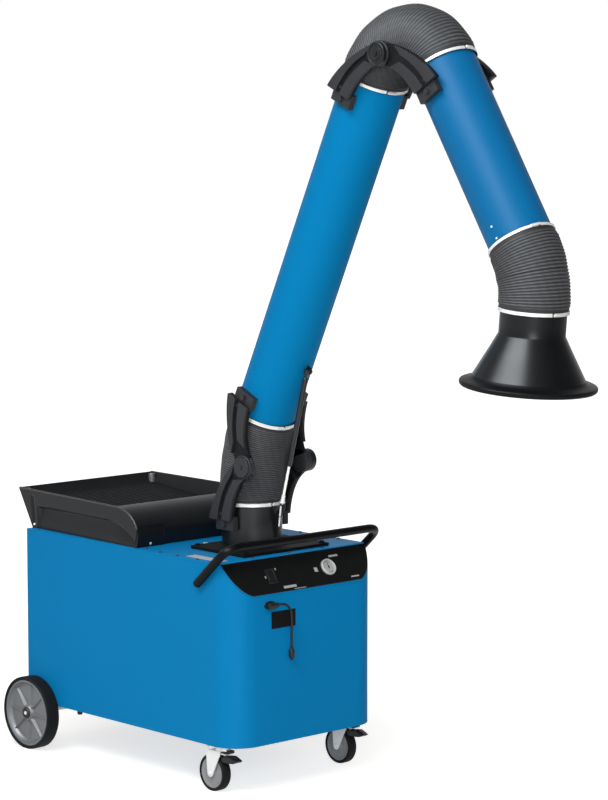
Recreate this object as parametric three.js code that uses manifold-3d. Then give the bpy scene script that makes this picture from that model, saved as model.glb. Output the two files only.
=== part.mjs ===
// Mobile fume extractor: a sheet-steel cabinet on wheels carries a jointed extraction arm with a hood.
// Millimetres, +Z up, +X towards the console and the hood, +Y to the left. The origin is moved at the
// end to the middle of the base.

import * as THREE from 'three';
import { mergeVertices } from 'three/addons/utils/BufferGeometryUtils.js';
import Module from 'manifold-3d';

const wasm = await Module();
wasm.setup();

// Driving dimensions

const GAP = 0.3; // left between pieces that touch
const SHEET = 3; // steel sheet of the cabinet
const cabinet = {
  front: 292, rear: -802, halfWidth: 328, bottom: 160, top: 765, corner: 102, rearCorner: 10, inletRadius: 92,
};
const louvre = { count: 8, halfWidth: 170, firstZ: 360, pitch: 26, height: 11 };
const consoleFace = { topX: 220, bottomZ: 660, plate: 2 };
const gauge = { along: 4, y: 118, radius: 27.5, height: 9, bezel: 3.5, dial: 3, needle: 19, tail: 7 };
const rocker = { along: 5.4, y: -138, length: 40, width: 24, low: -8, high: 5, dip: 2, clearance: 2 };
const handle = { radius: 14, footX: 125, footZ: 690, barX: 275, barZ: 823, bend: 60 };
const tray = {
  rearX: -880, baseRearX: -800, crestX: -330, noseX: -203, noseZ: 822, baseFrontX: -216,
  rimZ: 898, crestZ: 892, floorRearZ: 866, floorFrontZ: 818, halfWidth: 324, wall: 5, rearTaper: 0.07,
};
const rearWheel = { radius: 127, width: 51, x: -748, innerY: 332.5, rimRadius: 115, bore: 12.6, sides: 20 };
const axle = { radius: 12, bracketY: 290, bracketHalf: 32, below: 24 };
const caster = {
  radius: 62, width: 34, swivelX: 186, y: 284, trail: 40, bore: 7, sides: 16,
  plateX: 46, plateY: 34, plate: 5, post: 27, crown: 140.5, cheek: 26, cheekInner: 19, cheekOuter: 23,
};
const duct = { radius: 101.6, wall: 2, sides: 16, overlap: 18 };
const hose = { bore: 102.2, cuff: 106, crest: 111, cuffLength: 20 };
const clamp = { inner: 106.4, outer: 108.2, width: 13, offset: 2, housing: 7, screw: 11 };
const swivel = {
  x: 12, collarTop: 909, collarWall: 5, plateX: 20, plateLength: 280, plateWidth: 380, plateThickness: 7,
  housing: 122, housingHeight: 14, inlet: 90,
};
const knuckle = {
  offset: 106, innerY: 116, outerY: 138, knobY: 152, capY: 146, wideKnobY: 164, boss: 40, mating: 54,
  knobRadius: 38, shank: 8, footStart: 168, footEnd: 222, footInner: 62, footOuter: 148, grooveDepth: 7,
};
// Outlines of a knuckle's arm and of the groove in its face, across and along the arm from the pivot
const knuckleArm = {
  heel: [38, -14], outerBend: [85, 20, 150, 110], outerTip: [168, 187],
  innerTip: [66, 187], innerBend: [60, 130, 40, 70], crotch: [-10, 38],
};
const knuckleGroove = {
  heel: [60, 34], outerBend: [86, 62, 120, 120], outerTip: [127, 190],
  innerTip: [107, 190], innerBend: [98, 125, 68, 78], crotch: [44, 46],
};
const lowerArm = { lean: 25.3, reach: 145, length: 1203, topReach: 142, pivotZ: 1053 };
const upperArm = { lean: 32.15, reach: 118, length: 607, noseReach: 119 };
const hood = {
  tilt: 4.8, neckStart: 116, neckEnd: 184, coneEnd: 323, coneRadius: 177, rimRadius: 210.59, rimEnd: 346,
  wall: 3, lip: 24, edge: 14,
};
const gimbal = {
  ring: 66, bore: 50, height: 18, prongInner: 68.5, prongOuter: 76, halfBar: 10, bar: 9, tip: 12,
};
const strut = { along: 213, offset: 118, radius: 9, body: 330, rod: 5, ball: 9, lowX: 162, lowZ: 929 };
const fan = {
  z: 455, x: -700, radius: 186, depth: 112, impeller: 150, inlet: 85, motor: 80, shaft: 10, blades: 8,
};
const filter = { radius: 150, bore: 100, start: -560, end: -180 };

// Mains lead, its gland and its plug, with the lead's hand-laid route
const gland = { x: 306, z: 622, rear: -198, mouth: -144, flange: 48, height: 28, radius: 11 };
const plug = { radius: 10, length: 40, neck: 5.5 };
const cordRadius = 4;
const cordRoute = [
  [306, -144, 622], [306, -137, 622], [306, -130, 621.8], [306, -122, 620.6], [306, -113.5, 617.8],
  [306, -105.5, 612.8], [306, -98.6, 605.8], [306, -93.6, 597], [306, -90.6, 587], [306, -89.4, 575],
  [306, -89, 560], [306, -89, 545], [306, -89, 528], [306, -89, 510], [306, -89, 494], [306, -89, 478.3],
];

// Materials

function finish(color, roughness, metalness = 0) {
  return new THREE.MeshStandardMaterial({ color, roughness, metalness });
}

const materials = {
  blue: finish(0x1787dc, 0.45, 0.1),
  blackPlastic: finish(0x1d1f22, 0.55),
  blackPaint: finish(0x17181a, 0.4, 0.1),
  rubber: finish(0x1a1a1b, 0.85),
  hose: finish(0x33363a, 0.75),
  grey: finish(0xb4b7ba, 0.5),
  zinc: finish(0xd9dcdf, 0.35, 0.8),
  white: finish(0xf2f3f3, 0.5),
  filter: finish(0xd8cfb8, 0.9),
};

// Solid helpers

function solidOf(geometry) {
  const bare = geometry.clone();
  for (const name of Object.keys(bare.attributes)) {
    if (name !== 'position') bare.deleteAttribute(name);
  }
  const merged = mergeVertices(bare, 1e-4);
  return new wasm.Manifold(new wasm.Mesh({
    numProp: 3,
    vertProperties: new Float32Array(merged.attributes.position.array),
    triVerts: new Uint32Array(merged.index.array),
  }));
}

function geometryOf(solid) {
  const mesh = solid.getMesh();
  const geometry = new THREE.BufferGeometry();
  geometry.setAttribute('position', new THREE.BufferAttribute(mesh.vertProperties, 3));
  geometry.setIndex(new THREE.BufferAttribute(mesh.triVerts, 1));
  return geometry;
}

function join(...geometries) {
  return geometryOf(geometries.map(solidOf).reduce((sum, next) => sum.add(next)));
}

function cut(geometry, ...tools) {
  return geometryOf(tools.map(solidOf).reduce((left, tool) => left.subtract(tool), solidOf(geometry)));
}

function common(geometry, other) {
  return geometryOf(solidOf(geometry).intersect(solidOf(other)));
}

function box(x0, x1, y0, y1, z0, z1) {
  const geometry = new THREE.BoxGeometry(x1 - x0, y1 - y0, z1 - z0);
  return geometry.translate((x0 + x1) / 2, (y0 + y1) / 2, (z0 + z1) / 2);
}

function shapeOf(points) {
  return new THREE.Shape(points.map(([x, y]) => new THREE.Vector2(x, y)));
}

function extrudeZ(shape, z0, z1, curveSegments = 8) {
  const settings = { depth: z1 - z0, bevelEnabled: false, curveSegments };
  return new THREE.ExtrudeGeometry(shape, settings).translate(0, 0, z0);
}

// A shape drawn in X and Z, extruded from y0 to y1
function extrudeY(shape, y0, y1, curveSegments = 4) {
  return extrudeZ(shape, -y1, -y0, curveSegments).rotateX(Math.PI / 2);
}

// A shape drawn in Y and Z, extruded from x0 to x1
function extrudeX(shape, x0, x1) {
  const turn = new THREE.Matrix4().makeBasis(
    new THREE.Vector3(0, 1, 0), new THREE.Vector3(0, 0, 1), new THREE.Vector3(1, 0, 0));
  return extrudeZ(shape, x0, x1).applyMatrix4(turn);
}

// A profile of [radius, height] turned round Z
function turned(profile, sides) {
  const points = profile.map(([radius, height]) => new THREE.Vector2(radius, height));
  return new THREE.LatheGeometry(points, sides).rotateX(Math.PI / 2);
}

function ring(inner, outer, z0, z1, sides) {
  return turned([[inner, z0], [outer, z0], [outer, z1], [inner, z1], [inner, z0]], sides);
}

function rod(radius, z0, z1, sides) {
  return turned([[0, z0], [radius, z0], [radius, z1], [0, z1]], sides);
}

// Turns a piece built round Z so that it lies round Y or X
const alongY = (geometry) => geometry.rotateX(-Math.PI / 2);
const alongX = (geometry) => geometry.rotateY(Math.PI / 2);

function add(parent, name, geometry, material) {
  const mesh = new THREE.Mesh(geometry, material);
  mesh.name = name;
  parent.add(mesh);
  return mesh;
}

function frameAt(parent, x, y, z, turnY = 0) {
  const frame = new THREE.Group();
  frame.position.set(x, y, z);
  frame.rotation.y = turnY;
  parent.add(frame);
  return frame;
}

const sides = [['left', 1], ['right', -1]];
const unit = new THREE.Group();

// Arm skeleton: pivots in the X-Z plane, each arm's frame along its tube

const radians = THREE.MathUtils.degToRad;
const armLean = radians(lowerArm.lean);
const foreLean = radians(upperArm.lean);
const shoulder = new THREE.Vector3(swivel.x + knuckle.offset, 0, lowerArm.pivotZ);
const lowerFrame = frameAt(unit, shoulder.x, 0, shoulder.z, armLean);
const lowerTop = lowerArm.reach + lowerArm.length;
const elbowAlong = lowerTop + lowerArm.topReach;
const across = new THREE.Vector3(0, 1, 0);
const inLower = (x, z) => new THREE.Vector3(x, 0, z).applyAxisAngle(across, armLean).add(shoulder);
const elbow = inLower(0, elbowAlong);
const upperTurn = Math.PI - foreLean;
const upperFrame = frameAt(unit, elbow.x, 0, elbow.z, upperTurn);
const inUpper = (x, z) => new THREE.Vector3(x, 0, z).applyAxisAngle(across, upperTurn).add(elbow);
const upperEnd = upperArm.reach + upperArm.length;
const nose = inUpper(-knuckle.offset, upperEnd + upperArm.noseReach);
const hoodTurn = radians(hood.tilt);
const hoodFrame = frameAt(unit, nose.x, 0, nose.z, hoodTurn);

// Cabinet

function cabinetOutline(inset) {
  const { front, rear, halfWidth, corner, rearCorner } = cabinet;
  const r = corner - inset;
  const small = rearCorner - inset;
  const shape = new THREE.Shape();
  shape.moveTo(rear + rearCorner, -halfWidth + inset);
  shape.absarc(front - corner, -halfWidth + corner, r, -Math.PI / 2, 0, false);
  shape.absarc(front - corner, halfWidth - corner, r, 0, Math.PI / 2, false);
  shape.absarc(rear + rearCorner, halfWidth - rearCorner, small, Math.PI / 2, Math.PI, false);
  shape.absarc(rear + rearCorner, -halfWidth + rearCorner, small, Math.PI, Math.PI * 1.5, false);
  return shape;
}

const consoleRun = cabinet.front - consoleFace.topX;
const consoleDrop = cabinet.top - consoleFace.bottomZ;
const consoleTurn = Math.atan2(consoleDrop, consoleRun);
const consoleMiddle = [cabinet.front - consoleRun / 2, 0, cabinet.top - consoleDrop / 2];
const consoleFrame = frameAt(unit, ...consoleMiddle, consoleTurn);
const onConsole = (geometry) => geometry.rotateY(consoleTurn).translate(...consoleMiddle);
const WIDE = 1000; // larger than the cabinet, for cutting tools
const aboveConsole = (height) => onConsole(box(-WIDE, WIDE, -WIDE, WIDE, height, WIDE));
const consoleSlab = (low, high) => onConsole(box(-WIDE, WIDE, -WIDE, WIDE, low, high));

function switchWindow() {
  const { along, y, length, width, clearance } = rocker;
  const halfLength = length / 2 + clearance;
  const halfWidth = width / 2 + clearance;
  return onConsole(box(along - halfLength, along + halfLength, y - halfWidth, y + halfWidth, -20, 20));
}

const sheetTop = -consoleFace.plate - GAP;
const sheetBottom = sheetTop - SHEET;
const wallTop = cabinet.top - SHEET - GAP;

function cabinetWrap() {
  const outer = extrudeZ(cabinetOutline(0), cabinet.bottom, wallTop, 6);
  const inner = extrudeZ(cabinetOutline(SHEET), cabinet.bottom - WIDE, wallTop + WIDE, 6);
  const openRear = box(-WIDE, cabinet.rear + cabinet.rearCorner, -cabinet.halfWidth + SHEET,
    cabinet.halfWidth - SHEET, 0, WIDE);
  return cut(outer, inner, openRear, aboveConsole(sheetBottom - GAP));
}

function topPanel() {
  const column = extrudeZ(cabinetOutline(0), consoleFace.bottomZ - 60, cabinet.top, 6);
  const lid = extrudeZ(cabinetOutline(0), cabinet.top - SHEET, cabinet.top, 6);
  const slope = common(column, consoleSlab(sheetBottom, sheetTop));
  const inlet = rod(cabinet.inletRadius, cabinet.top - 40, cabinet.top + 40, duct.sides);
  return cut(join(lid, slope), aboveConsole(sheetTop), switchWindow(), inlet.translate(swivel.x, 0, 0));
}

function controlPanel() {
  const column = extrudeZ(cabinetOutline(0), consoleFace.bottomZ - 60, cabinet.top, 6);
  return cut(common(column, consoleSlab(-consoleFace.plate, 0)), switchWindow());
}

function floorPan() {
  const pan = extrudeZ(cabinetOutline(SHEET + GAP), cabinet.bottom, cabinet.bottom + SHEET, 6);
  const axleHole = alongY(rod(axle.radius + 2 * GAP, -WIDE, WIDE, 12)).translate(rearWheel.x, 0, rearAxleZ);
  const brackets = sides.map(([, side]) => box(
    rearWheel.x - axle.bracketHalf, rearWheel.x + axle.bracketHalf,
    side * axle.bracketY - SHEET, side * axle.bracketY + SHEET, rearAxleZ - axle.below, cabinet.bottom + 1));
  return cut(join(pan, ...brackets), axleHole);
}

function rearPanel() {
  const { rear, bottom } = cabinet;
  const halfWidth = cabinet.halfWidth - SHEET - GAP;
  const plate = box(rear, rear + SHEET, -halfWidth, halfWidth, bottom + SHEET + GAP, wallTop);
  const slots = Array.from({ length: louvre.count }, (_, i) => {
    const z = louvre.firstZ + i * louvre.pitch;
    return box(rear - SHEET, rear + 2 * SHEET, -louvre.halfWidth, louvre.halfWidth, z, z + louvre.height);
  });
  return cut(plate, ...slots);
}

const rearAxleZ = rearWheel.radius * Math.cos(Math.PI / rearWheel.sides);
add(unit, 'cabinet_wrap', cabinetWrap(), materials.blue);
add(unit, 'top_panel', topPanel(), materials.blue);
add(unit, 'floor_pan', floorPan(), materials.blue);
add(unit, 'rear_panel', rearPanel(), materials.blue);
add(unit, 'control_panel', controlPanel(), materials.blackPlastic);

// Console fittings

function gaugeBody() {
  const { radius, height, dial } = gauge;
  const inner = radius - gauge.bezel;
  return turned([[0, GAP], [radius, GAP], [radius, height], [inner, height], [inner, dial], [0, dial]], 20);
}

function rockerSwitch() {
  const { length, width, low, high, dip } = rocker;
  const half = length / 2;
  const outline = shapeOf([[-half, low], [half, low], [half, high], [0, dip], [-half, high]]);
  return extrudeY(outline, -width / 2, width / 2);
}

const gaugeFrame = frameAt(consoleFrame, gauge.along, gauge.y, 0);
const needle = box(-gauge.needle, gauge.tail, -1, 1, gauge.dial + 1, gauge.dial + 2);
add(gaugeFrame, 'gauge_body', gaugeBody(), materials.white);
add(gaugeFrame, 'gauge_needle', needle, materials.blackPlastic);
const rockerFrame = frameAt(consoleFrame, rocker.along, rocker.y, 0);
add(rockerFrame, 'rocker_switch', rockerSwitch(), materials.blackPlastic);

// Push handle: one bent tube against both side walls

function handleTube() {
  const y = cabinet.halfWidth + handle.radius + GAP;
  const corners = [
    [handle.footX, -y, handle.footZ], [handle.barX, -y, handle.barZ],
    [handle.barX, y, handle.barZ], [handle.footX, y, handle.footZ],
  ].map((p) => new THREE.Vector3(...p));
  const path = new THREE.CurvePath();
  let from = corners[0];
  for (const i of [1, 2]) {
    const corner = corners[i];
    const towards = (next) => corner.clone().lerp(next, handle.bend / corner.distanceTo(next));
    const before = towards(corners[i - 1]);
    const after = towards(corners[i + 1]);
    path.add(new THREE.LineCurve3(from, before));
    path.add(new THREE.QuadraticBezierCurve3(before, corner, after));
    from = after;
  }
  path.add(new THREE.LineCurve3(from, corners[3]));
  const section = new THREE.Shape().absarc(0, 0, handle.radius, 0, Math.PI * 2, false);
  return new THREE.ExtrudeGeometry(section, { extrudePath: path, steps: 32, curveSegments: 4 });
}

add(unit, 'push_handle', handleTube(), materials.blackPaint);

// Moulded tool tray on the rear of the top

function traySide() {
  const t = tray;
  const shape = new THREE.Shape();
  shape.moveTo(t.baseRearX, cabinet.top + GAP);
  shape.lineTo(t.baseFrontX, cabinet.top + GAP);
  shape.lineTo(t.noseX, t.noseZ);
  shape.bezierCurveTo(t.noseX - 12, t.noseZ + 40, t.crestX + 72, t.crestZ, t.crestX, t.crestZ);
  shape.lineTo(t.rearX, t.rimZ);
  return shape;
}

function trayHollow() {
  const t = tray;
  return shapeOf([
    [t.rearX + t.wall, t.rimZ + 40], [t.rearX + t.wall, t.rimZ - 2], [t.rearX + 30, t.floorRearZ],
    [t.crestX - 22, t.floorFrontZ], [t.crestX - 6, t.crestZ + 1], [t.crestX - 6, t.rimZ + 40],
  ]);
}

function trayUnderside() {
  const t = tray;
  return shapeOf([
    [t.baseRearX + 8, cabinet.top - 20], [t.baseFrontX - 6, cabinet.top - 20],
    [t.baseFrontX - 6, cabinet.top + 20], [t.noseX - 7, t.noseZ],
    [t.crestX + 40, t.crestZ - 28], [t.crestX + 2, t.crestZ - 12],
    [t.crestX - 10, t.floorFrontZ - 5], [t.rearX + 36, t.floorRearZ - 6], [t.rearX + 30, t.floorRearZ - 16],
  ]);
}

function toolTray() {
  const { halfWidth, wall, noseX, rearX, rearTaper } = tray;
  const shell = cut(
    extrudeY(traySide(), -halfWidth, halfWidth, 6),
    extrudeY(trayHollow(), -halfWidth + wall, halfWidth - wall),
    extrudeY(trayUnderside(), -halfWidth + wall, halfWidth - wall));
  const position = shell.attributes.position;
  for (let i = 0; i < position.count; i += 1) {
    const backward = (noseX - position.getX(i)) / (noseX - rearX);
    position.setY(i, position.getY(i) * (1 - rearTaper * backward));
  }
  return shell;
}

add(unit, 'tool_tray', toolTray(), materials.blackPlastic);

// Mains lead with its gland and plug on the front wall

function cordGland() {
  const { x, z, rear, mouth, flange, height, radius } = gland;
  const foot = box(cabinet.front + GAP, x - 8, rear, rear + flange, z - height / 2, z + height / 2);
  const body = alongY(rod(radius, rear + 4, mouth - GAP, 10)).translate(x, 0, z);
  return join(foot, body);
}

function cordTube() {
  const route = new THREE.CatmullRomCurve3(cordRoute.map((p) => new THREE.Vector3(...p)));
  const section = new THREE.Shape().absarc(0, 0, cordRadius, 0, Math.PI * 2, false);
  return new THREE.ExtrudeGeometry(section, { extrudePath: route, steps: 12, curveSegments: 4 });
}

function powerPlug() {
  const { radius, length, neck } = plug;
  const profile = [[0, -length], [radius - 1, -length], [radius, -14], [neck, -GAP], [0, -GAP]];
  return turned(profile, 10).translate(...cordRoute.at(-1));
}

add(unit, 'cord_gland', cordGland(), materials.blackPlastic);
add(unit, 'power_cord', cordTube(), materials.rubber);
add(unit, 'power_plug', powerPlug(), materials.blackPlastic);

// Filter, fan and motor inside the cabinet

function fanHousing() {
  const { x, z, radius, depth, shaft } = fan;
  const plate = box(x + depth - 4, x + depth, -300, 300, cabinet.bottom + 10, cabinet.top - 10);
  const drum = alongX(ring(radius - 5, radius, 0, depth - 3, 14));
  const back = alongX(ring(2 * shaft, radius - 1, 0, 4, 14));
  const inlet = alongX(rod(fan.inlet, -20, 20, 14)).translate(x + depth, 0, z);
  const outlet = box(x + 20, x + 90, 60, 140, z - radius - 20, z - 60);
  return cut(join(plate, join(drum, back).translate(x, 0, z)), inlet, outlet);
}

function fanImpeller() {
  const bore = fan.shaft + 2 * GAP;
  const disc = alongX(ring(bore, fan.impeller, 14, 18, 14));
  const hub = alongX(ring(bore, 24, 12, 44, 14));
  const blades = Array.from({ length: fan.blades }, (_, i) => {
    const blade = box(17, 70, -1.5, 1.5, 80, fan.impeller - 5);
    return blade.rotateX((2 * Math.PI * i) / fan.blades);
  });
  return join(disc, hub, ...blades).translate(fan.x, 0, fan.z);
}

function fanMotor() {
  const { motor, shaft } = fan;
  const profile = [[0, -motor], [motor, -motor], [motor, -GAP], [shaft, -GAP], [shaft, 40], [0, 40]];
  return alongX(turned(profile, 12)).translate(fan.x, 0, fan.z);
}

add(unit, 'filter_cartridge', alongX(ring(filter.bore, filter.radius, filter.start, filter.end, 24))
  .translate(0, 0, fan.z), materials.filter);
add(unit, 'fan_housing', fanHousing(), materials.zinc);
add(unit, 'fan_impeller', fanImpeller(), materials.zinc);
add(unit, 'fan_motor', fanMotor(), materials.grey);

// Rear wheels on a fixed axle. Each tread stands on one of its flats.

const rearHubY = rearWheel.innerY + rearWheel.width / 2;
add(unit, 'rear_axle', alongY(rod(axle.radius, -rearHubY - 16, rearHubY + 16, 12))
  .translate(rearWheel.x, 0, rearAxleZ), materials.zinc);

function rearTyre() {
  const half = rearWheel.width / 2;
  const { radius, rimRadius } = rearWheel;
  return turned([
    [rimRadius, -half + 3], [radius - 6, -half], [radius, -half + 6], [radius, half - 6], [radius - 6, half],
    [rimRadius, half - 3], [rimRadius, -half + 3],
  ], rearWheel.sides).rotateZ(Math.PI / rearWheel.sides);
}

function rearRim() {
  const outer = rearWheel.rimRadius - GAP;
  return turned([
    [rearWheel.bore, -18], [outer, -18], [outer, 19], [outer - 8, 19], [outer - 12, 6], [30, 6], [24, 20],
    [rearWheel.bore, 20], [rearWheel.bore, -18],
  ], rearWheel.sides).rotateZ(Math.PI / rearWheel.sides);
}

for (const [name, side] of sides) {
  const hub = frameAt(unit, rearWheel.x, side * rearHubY, rearAxleZ);
  add(hub, `rear_tyre_${name}`, alongY(rearTyre()), materials.rubber);
  add(hub, `rear_rim_${name}`, alongY(rearRim()), materials.grey);
}

// Swivel casters with foot brakes under the front

const casterAxleZ = caster.radius * Math.cos(Math.PI / caster.sides);

function casterPlate() {
  const { plateX, plateY, plate, post, crown } = caster;
  const top = cabinet.bottom - GAP;
  const flat = box(-plateX, plateX, -plateY, plateY, top - plate, top);
  return join(flat, rod(post, crown + 0.5, top - plate + 1, 16));
}

function casterFork() {
  const { trail, bore, crown, cheek, cheekInner, cheekOuter } = caster;
  const leg = shapeOf([
    [cheek, crown], [-trail, crown], [-trail - 20, 130], [-trail - 13, casterAxleZ + 6],
    [-trail - 6, casterAxleZ - 12], [-trail + 8, casterAxleZ - 11], [-trail + 16, casterAxleZ + 3], [7, 122],
    [cheek, 130],
  ]);
  const legs = [extrudeY(leg, cheekInner, cheekOuter), extrudeY(leg, -cheekOuter, -cheekInner)];
  const pin = alongY(rod(bore - 1, -cheekOuter + 1, cheekOuter - 1, 12)).translate(-trail, 0, casterAxleZ);
  return join(box(-cheek, cheek, -cheekOuter, cheekOuter, crown - 6.5, crown), pin, ...legs);
}

function casterWheel() {
  const half = caster.width / 2;
  const { radius, bore } = caster;
  return turned([
    [bore, -half], [radius - 5, -half], [radius, -half + 5], [radius, half - 5], [radius - 5, half],
    [bore, half], [bore, -half],
  ], caster.sides).rotateZ(Math.PI / caster.sides);
}

function casterBrake() {
  const pedal = shapeOf([
    [6, 112], [12, 106], [40, 104], [68, 108], [82, 116], [50, 128], [28, 126], [6, 121],
  ]);
  return extrudeY(pedal, -caster.cheekInner + 2, caster.cheekInner - 2);
}

for (const [name, side] of sides) {
  const post = frameAt(unit, caster.swivelX, side * caster.y, 0);
  add(post, `caster_plate_${name}`, casterPlate(), materials.zinc);
  add(post, `caster_fork_${name}`, casterFork(), materials.zinc);
  const wheel = alongY(casterWheel()).translate(-caster.trail, 0, casterAxleZ);
  add(post, `caster_wheel_${name}`, wheel, materials.grey);
  add(post, `caster_brake_${name}`, casterBrake(), materials.blackPlastic);
}

// Swivel base and collar

const plateTop = cabinet.top + GAP + swivel.plateThickness;

function armBasePlate() {
  const { x, plateX, plateLength, plateWidth } = swivel;
  const plate = box(plateX - plateLength / 2, plateX + plateLength / 2, -plateWidth / 2, plateWidth / 2,
    cabinet.top + GAP, plateTop);
  const housingTop = plateTop + swivel.housingHeight;
  const housing = rod(swivel.housing, plateTop - 1, housingTop, 24).translate(x, 0, 0);
  const well = rod(duct.radius + 2.6, plateTop, plateTop + 40, duct.sides).translate(x, 0, 0);
  const inlet = rod(swivel.inlet, cabinet.top - 40, plateTop + 40, duct.sides).translate(x, 0, 0);
  return cut(join(plate, housing), well, inlet);
}

function swivelCollar() {
  const { x, collarTop, collarWall } = swivel;
  const top = collarTop + duct.overlap;
  const tube = ring(duct.radius - collarWall, duct.radius, plateTop + GAP, top, duct.sides);
  const bracket = extrudeY(shapeOf([
    [100, 800], [113, 800], [137, 870], [161, 905], [163, 938],
    [141, 940], [135, 908], [114, 880], [100, 878],
  ]), strut.ball + 1.5, strut.ball + 7);
  return join(tube.translate(x, 0, 0), bracket);
}

add(unit, 'arm_base_plate', armBasePlate(), materials.blackPaint);
add(unit, 'swivel_collar', swivelCollar(), materials.blackPaint);

// Knuckles: cast friction joints, one pair at each end. Drawn with the pivot at 0, 0 and the arm running
// up Z; out is the side of X where the tube lies. The outer halves cover the inner halves at the pivot.

function bentBlade(outline, out) {
  const { heel, outerBend, outerTip, innerTip, innerBend, crotch } = outline;
  const mirror = (values) => values.map((value, i) => (i % 2 ? value : value * out));
  const shape = new THREE.Shape();
  shape.moveTo(...mirror(heel));
  shape.bezierCurveTo(...mirror(outerBend), ...mirror(outerTip));
  shape.lineTo(...mirror(innerTip));
  shape.bezierCurveTo(...mirror(innerBend), ...mirror(crotch));
  return shape;
}

function knuckleHalf(side, out, isOuter) {
  const { innerY, outerY, boss, mating, shank, grooveDepth } = knuckle;
  const { footStart, footEnd, footInner, footOuter } = knuckle;
  const span = (near, far) => (side > 0 ? [near, far] : [-far, -near]);
  const disc = (radius, near, far) => alongY(rod(radius, ...span(near, far), 12));
  const middle = (innerY + outerY) / 2;
  const beyond = 9;
  const foot = [footInner * out, footOuter * out].sort((a, b) => a - b);
  const body = join(
    extrudeY(bentBlade(knuckleArm, out), ...span(innerY, outerY)),
    disc(boss, innerY, outerY),
    box(...foot, ...span(duct.radius + 0.5, innerY + 8), footStart, footEnd));
  const groove = extrudeY(bentBlade(knuckleGroove, out), ...span(outerY - grooveDepth, outerY + beyond));
  const matingHalf = isOuter
    ? disc(mating, innerY - beyond, middle + GAP / 2)
    : disc(mating, middle - GAP / 2, outerY + beyond);
  return cut(body, groove, matingHalf, disc(shank + 2 * GAP, innerY - beyond, outerY + beyond));
}

function knuckleKnob(side, face) {
  const { innerY, outerY, knobRadius, shank } = knuckle;
  const profile = [
    [0, innerY - 1], [shank, innerY - 1], [shank, outerY + GAP], [knobRadius, outerY + GAP],
    [knobRadius, face - 3], [knobRadius - 3, face], [0, face],
  ];
  const knob = alongY(turned(profile, 12));
  return side > 0 ? knob : knob.rotateZ(Math.PI);
}

const baseFrame = frameAt(unit, shoulder.x, 0, shoulder.z, Math.PI);
const elbowFrame = frameAt(unit, elbow.x, 0, elbow.z, Math.PI + armLean);
for (const [name, side] of sides) {
  add(baseFrame, `base_knuckle_${name}`, knuckleHalf(side, 1, true), materials.blackPlastic);
  const face = side > 0 ? knuckle.wideKnobY : knuckle.capY;
  add(baseFrame, `shoulder_knob_${name}`, knuckleKnob(side, face), materials.blackPlastic);
  add(lowerFrame, `shoulder_knuckle_${name}`, knuckleHalf(side, -1, false), materials.blackPlastic);
  add(elbowFrame, `elbow_knuckle_${name}`, knuckleHalf(side, 1, true), materials.blackPlastic);
  add(elbowFrame, `elbow_knob_${name}`, knuckleKnob(side, knuckle.knobY), materials.blackPlastic);
  add(upperFrame, `forearm_knuckle_${name}`, knuckleHalf(side, -1, false), materials.blackPlastic);
}

// Arm tubes, reaching a little way into the hoses. The lower one is two lengths, butted above its middle.

const lowerSeam = lowerArm.reach + 0.6 * lowerArm.length;

function ductTube(start, end) {
  return ring(duct.radius - duct.wall, duct.radius, start, end, duct.sides).translate(-knuckle.offset, 0, 0);
}

function lowerTube() {
  const x = strut.offset - knuckle.offset;
  const z = lowerArm.reach + strut.along;
  const ear = box(-7, x + 7, strut.radius + 1.5, strut.radius + 7, z - 12, z + 12);
  return join(ductTube(lowerArm.reach - duct.overlap, lowerSeam - GAP / 2), ear);
}

// A two-pronged fork drawn across Y, with its bar at barZ and its prongs ending at tipZ
function forkShape(reach, barZ, tipZ) {
  const { prongInner, prongOuter } = gimbal;
  const bar = barZ + Math.sign(tipZ - barZ) * gimbal.bar;
  const right = [
    [reach, barZ], [reach, bar], [prongOuter, bar], [prongOuter, tipZ], [prongInner, tipZ], [prongInner, bar],
  ];
  const left = right.map(([y, z]) => [-y, z]).reverse();
  return shapeOf([...right, ...left]);
}

function upperTube() {
  const fork = forkShape(duct.radius - 1, upperEnd - 40, upperEnd + upperArm.noseReach + gimbal.tip);
  const prongs = extrudeX(fork, -gimbal.halfBar, gimbal.halfBar).translate(-knuckle.offset, 0, 0);
  return join(ductTube(upperArm.reach - duct.overlap, upperEnd + duct.overlap), prongs);
}

add(lowerFrame, 'lower_tube', lowerTube(), materials.blue);
const lowerExtension = ductTube(lowerSeam + GAP / 2, lowerTop + duct.overlap);
add(lowerFrame, 'lower_tube_extension', lowerExtension, materials.blue);
add(upperFrame, 'upper_tube', upperTube(), materials.blue);

// Hood on a two-axis gimbal inside the nose hose, drawn with the gimbal at the origin

function hoodBell() {
  const { neckStart, coneEnd, coneRadius, rimRadius, rimEnd, wall, lip, edge } = hood;
  const neckTop = -neckStart + duct.overlap;
  const bell = turned([
    [rimRadius - lip, -rimEnd], [rimRadius - 7, -rimEnd], [rimRadius, -rimEnd + 6],
    [rimRadius, -rimEnd + edge], [rimRadius - 6, -rimEnd + edge + 4], [coneRadius, -coneEnd],
    [duct.radius, -hood.neckEnd], [duct.radius, neckTop],
    [duct.radius - wall, neckTop], [duct.radius - wall, -hood.neckEnd],
    [coneRadius - wall - 1, -coneEnd - 1], [rimRadius - lip, -rimEnd + 12], [rimRadius - lip, -rimEnd],
  ], duct.sides);
  const forkOutline = forkShape(duct.radius - wall, -neckStart - 18, gimbal.tip);
  return join(bell, extrudeY(forkOutline, -gimbal.halfBar, gimbal.halfBar));
}

const halfRing = gimbal.height / 2;
add(hoodFrame, 'gimbal_ring', ring(gimbal.bore, gimbal.ring, -halfRing, halfRing, 8), materials.zinc);
add(hoodFrame, 'hood', hoodBell(), materials.blackPlastic);

// Ribbed hoses. Each runs straight out of both cuffs and bends on one cubic between them.

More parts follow.
